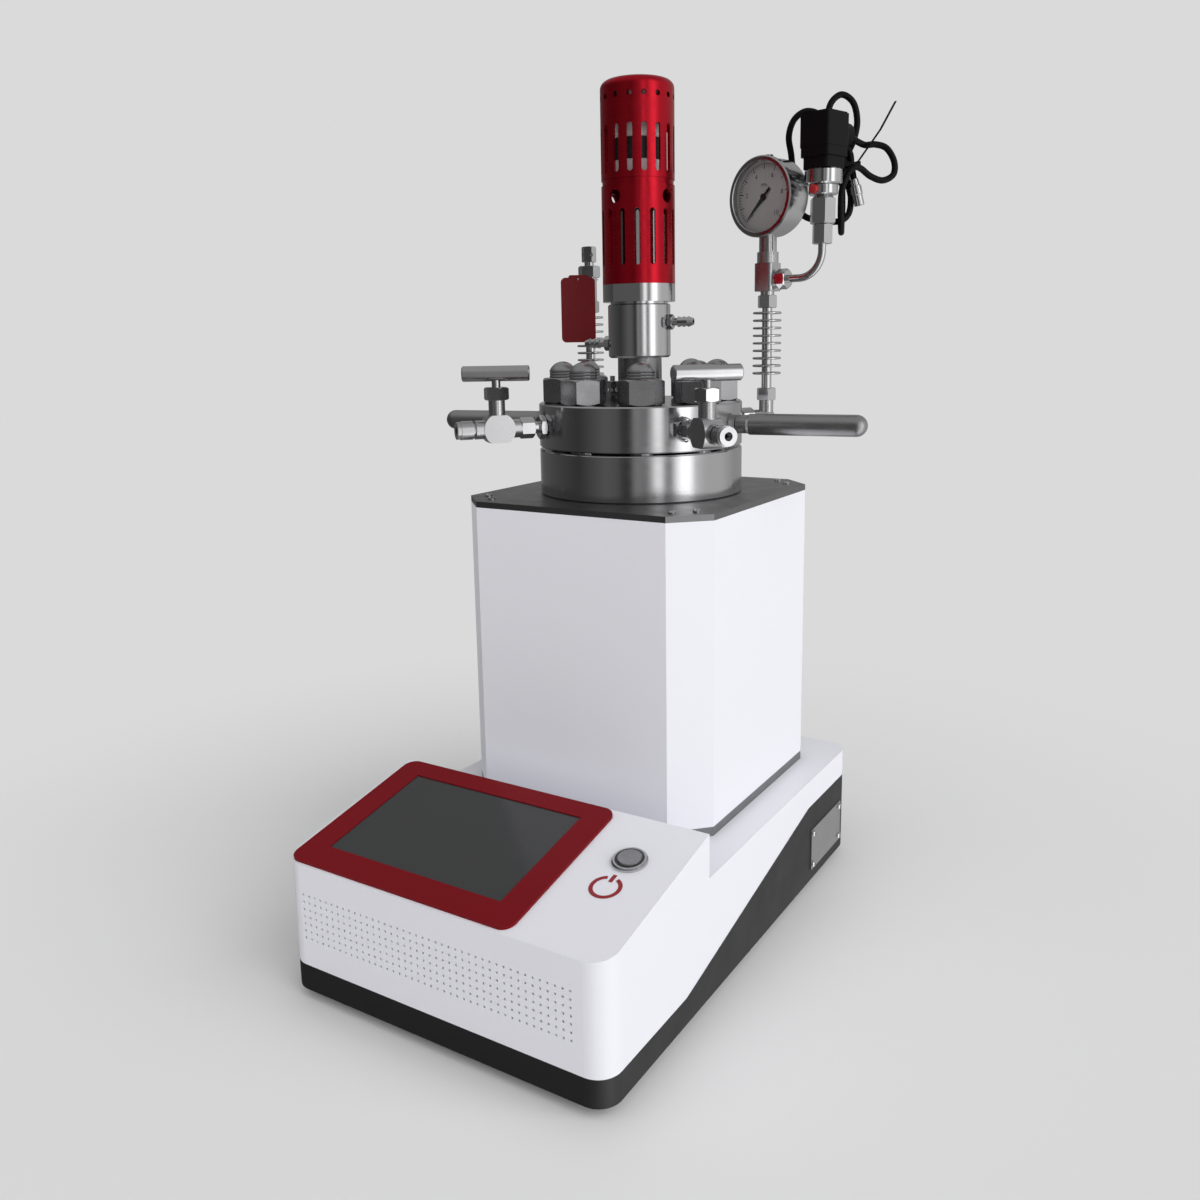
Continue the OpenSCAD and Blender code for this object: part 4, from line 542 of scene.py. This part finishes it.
ticks, tick_faces = [], []
for i in range(51):
    angle = np.radians(-135 + i * 5.4)
    tall = i % 5 == 0
    tick_faces.append([len(ticks) + k for k in range(4)])
    ticks += bar_mark(angle, 0.0212 if tall else 0.0228, 0.0252, 0.00036 if tall else 0.00018)
for k in range(60):
    a0, a1 = (np.radians(-135 + 4.5 * t) for t in (k, k + 1))
    tick_faces.append([len(ticks) + j for j in range(4)])
    ticks += [[0.0252 * np.sin(a0), 0.0252 * np.cos(a0)], [0.0255 * np.sin(a0), 0.0255 * np.cos(a0)],
              [0.0255 * np.sin(a1), 0.0255 * np.cos(a1)], [0.0252 * np.sin(a1), 0.0252 * np.cos(a1)]]
scale = piece("dial_scale", on_dial(ticks), tick_faces, "reactor", "dial", smooth=False)
scale.data.materials.append(ink)


def text_mesh(words, size):
    """Plain text turned into flat points and faces about its own middle."""
    curve = bpy.data.curves.new("word", "FONT")
    curve.body, curve.size, curve.align_x, curve.align_y = words, size, "CENTER", "CENTER"
    curve.resolution_u = 3
    holder = bpy.data.objects.new("word", curve)
    bpy.context.scene.collection.objects.link(holder)
    bpy.context.view_layer.update()
    mesh = bpy.data.meshes.new_from_object(holder.evaluated_get(bpy.context.evaluated_depsgraph_get()))
    flat = np.array([v.co[:2] for v in mesh.vertices])
    faces = [list(p.vertices) for p in mesh.polygons]
    bpy.data.objects.remove(holder)
    bpy.data.curves.remove(curve)
    bpy.data.meshes.remove(mesh)
    return flat - (flat.min(0) + flat.max(0)) / 2, faces


words, word_faces = [], []
for i, number in enumerate(("0", "2", "4", "6", "8", "10")):
    angle = np.radians(-135 + i * 54)
    flat, faces = text_mesh(number, 0.0052)
    word_faces += [[len(words) + k for k in face] for face in faces]
    words += (flat + 0.0178 * np.array([np.sin(angle), np.cos(angle)])).tolist()
flat, faces = text_mesh("MPa", 0.0036)
word_faces += [[len(words) + k for k in face] for face in faces]
words += (flat + np.array([0.0, 0.0092])).tolist()
numbers = piece("dial_numbers", on_dial(words), word_faces, "reactor", "dial", smooth=False)
numbers.data.materials.append(ink)

# %% [markdown]
# ## Threads
# The studs end in threads above their nuts. A thread that small reads as close ridges, so each is a closed ring
# of ridges turned about the stud's own axis, just proud of the plain stud.

# %% Stud threads
stud_count, stud_reach, first_stud = 8, 0.060, 30.5
nut_top, thread_top, thread_pitch = 0.4186, 0.4248, 0.0018
ring_inside, ridge_foot, ridge_tip = 0.0094, 0.00995, 0.01055


def turned_ring(centre, loop, sides):
    """A closed loop of (radius, height) turned about an upright axis; returns points and faces."""
    turn = np.arange(sides) * 2 * np.pi / sides
    points = np.array([[centre[0] + r * np.cos(a), centre[1] + r * np.sin(a), z] for r, z in loop for a in turn])
    faces = []
    for i in range(len(loop)):
        here, beyond = i * sides, (i + 1) % len(loop) * sides
        faces += [[here + k, here + (k + 1) % sides, beyond + (k + 1) % sides, beyond + k] for k in range(sides)]
    return points, faces


def joined(rings):
    """Rings of the same size as one set of points and faces."""
    faces = [[i * len(points) + k for k in face] for i, (points, ring_faces) in enumerate(rings) for face in ring_faces]
    return np.vstack([points for points, _ in rings]), faces


ridges = int(round((thread_top - nut_top) / thread_pitch))
ridge_loop = [(ridge_foot if i % 2 == 0 else ridge_tip, nut_top + (thread_top - nut_top) * i / (2 * ridges))
              for i in range(2 * ridges + 1)]
ridge_loop += [(ring_inside, thread_top), (ring_inside, nut_top)]
stud_turns = [np.radians(first_stud + 360 / stud_count * k) for k in range(stud_count)]
stud_places = [(vessel_axis[0] + stud_reach * np.cos(t), vessel_axis[1] + stud_reach * np.sin(t)) for t in stud_turns]
threads = piece("stud_threads", *joined([turned_ring(spot, ridge_loop, 28) for spot in stud_places]), "reactor",
                "steel_dark", smooth=False)
thread_steel = plain_steel("thread_steel", (0.30, 0.30, 0.31), 0.24, 0.36)
threads.data.materials.append(thread_steel)

# %% [markdown]
# ## Sensor cap
# A small plug closes the side of the pressure sensor. Its end is a red moulded cap, turned with the gauge's dial.

# %% Red cap
facing = np.array([np.cos(dial_angle), np.sin(dial_angle), 0.0])
cap_root = np.array([sensor[0], sensor[1], 0.5563])
cap_reach, cap_radius = (0.0095, 0.0131, 0.0135), (0.0035, 0.0035, 0.0028)
cap = piece("sensor_red_cap", *tube([cap_root + facing * r for r in cap_reach], cap_radius, 24), "reactor",
            "red_cover")
cap_red, tree, bsdf = new_finish("cap_red", (0.36, 0.012, 0.016), rough=0.4)
cap.data.materials.append(cap_red)

# %% [markdown]
# ## Fin edges
# The cooling fins of the two stand-offs have rounded edges. Each edge is a thin closed ring on its fin's rim.

# %% Fin edges
fin_places = (0.067586, 0.159679), (-0.086245, 0.134998)
fin_count, first_fin, fin_pitch = 9, 0.41805, 0.006
edge_reach, edge_thick = 0.0106, 0.00095
lean = np.arange(8) * 2 * np.pi / 8
edge_rings = []
for spot in fin_places:
    for i in range(fin_count):
        height = first_fin + fin_pitch * i
        edge_loop = [(edge_reach + edge_thick * np.cos(b), height + edge_thick * np.sin(b)) for b in lean]
        edge_rings.append(turned_ring(spot, edge_loop, 36))
fin_edges = piece("fin_edges", *joined(edge_rings), "reactor", "steel")
fin_edges.data.materials.append(bright)
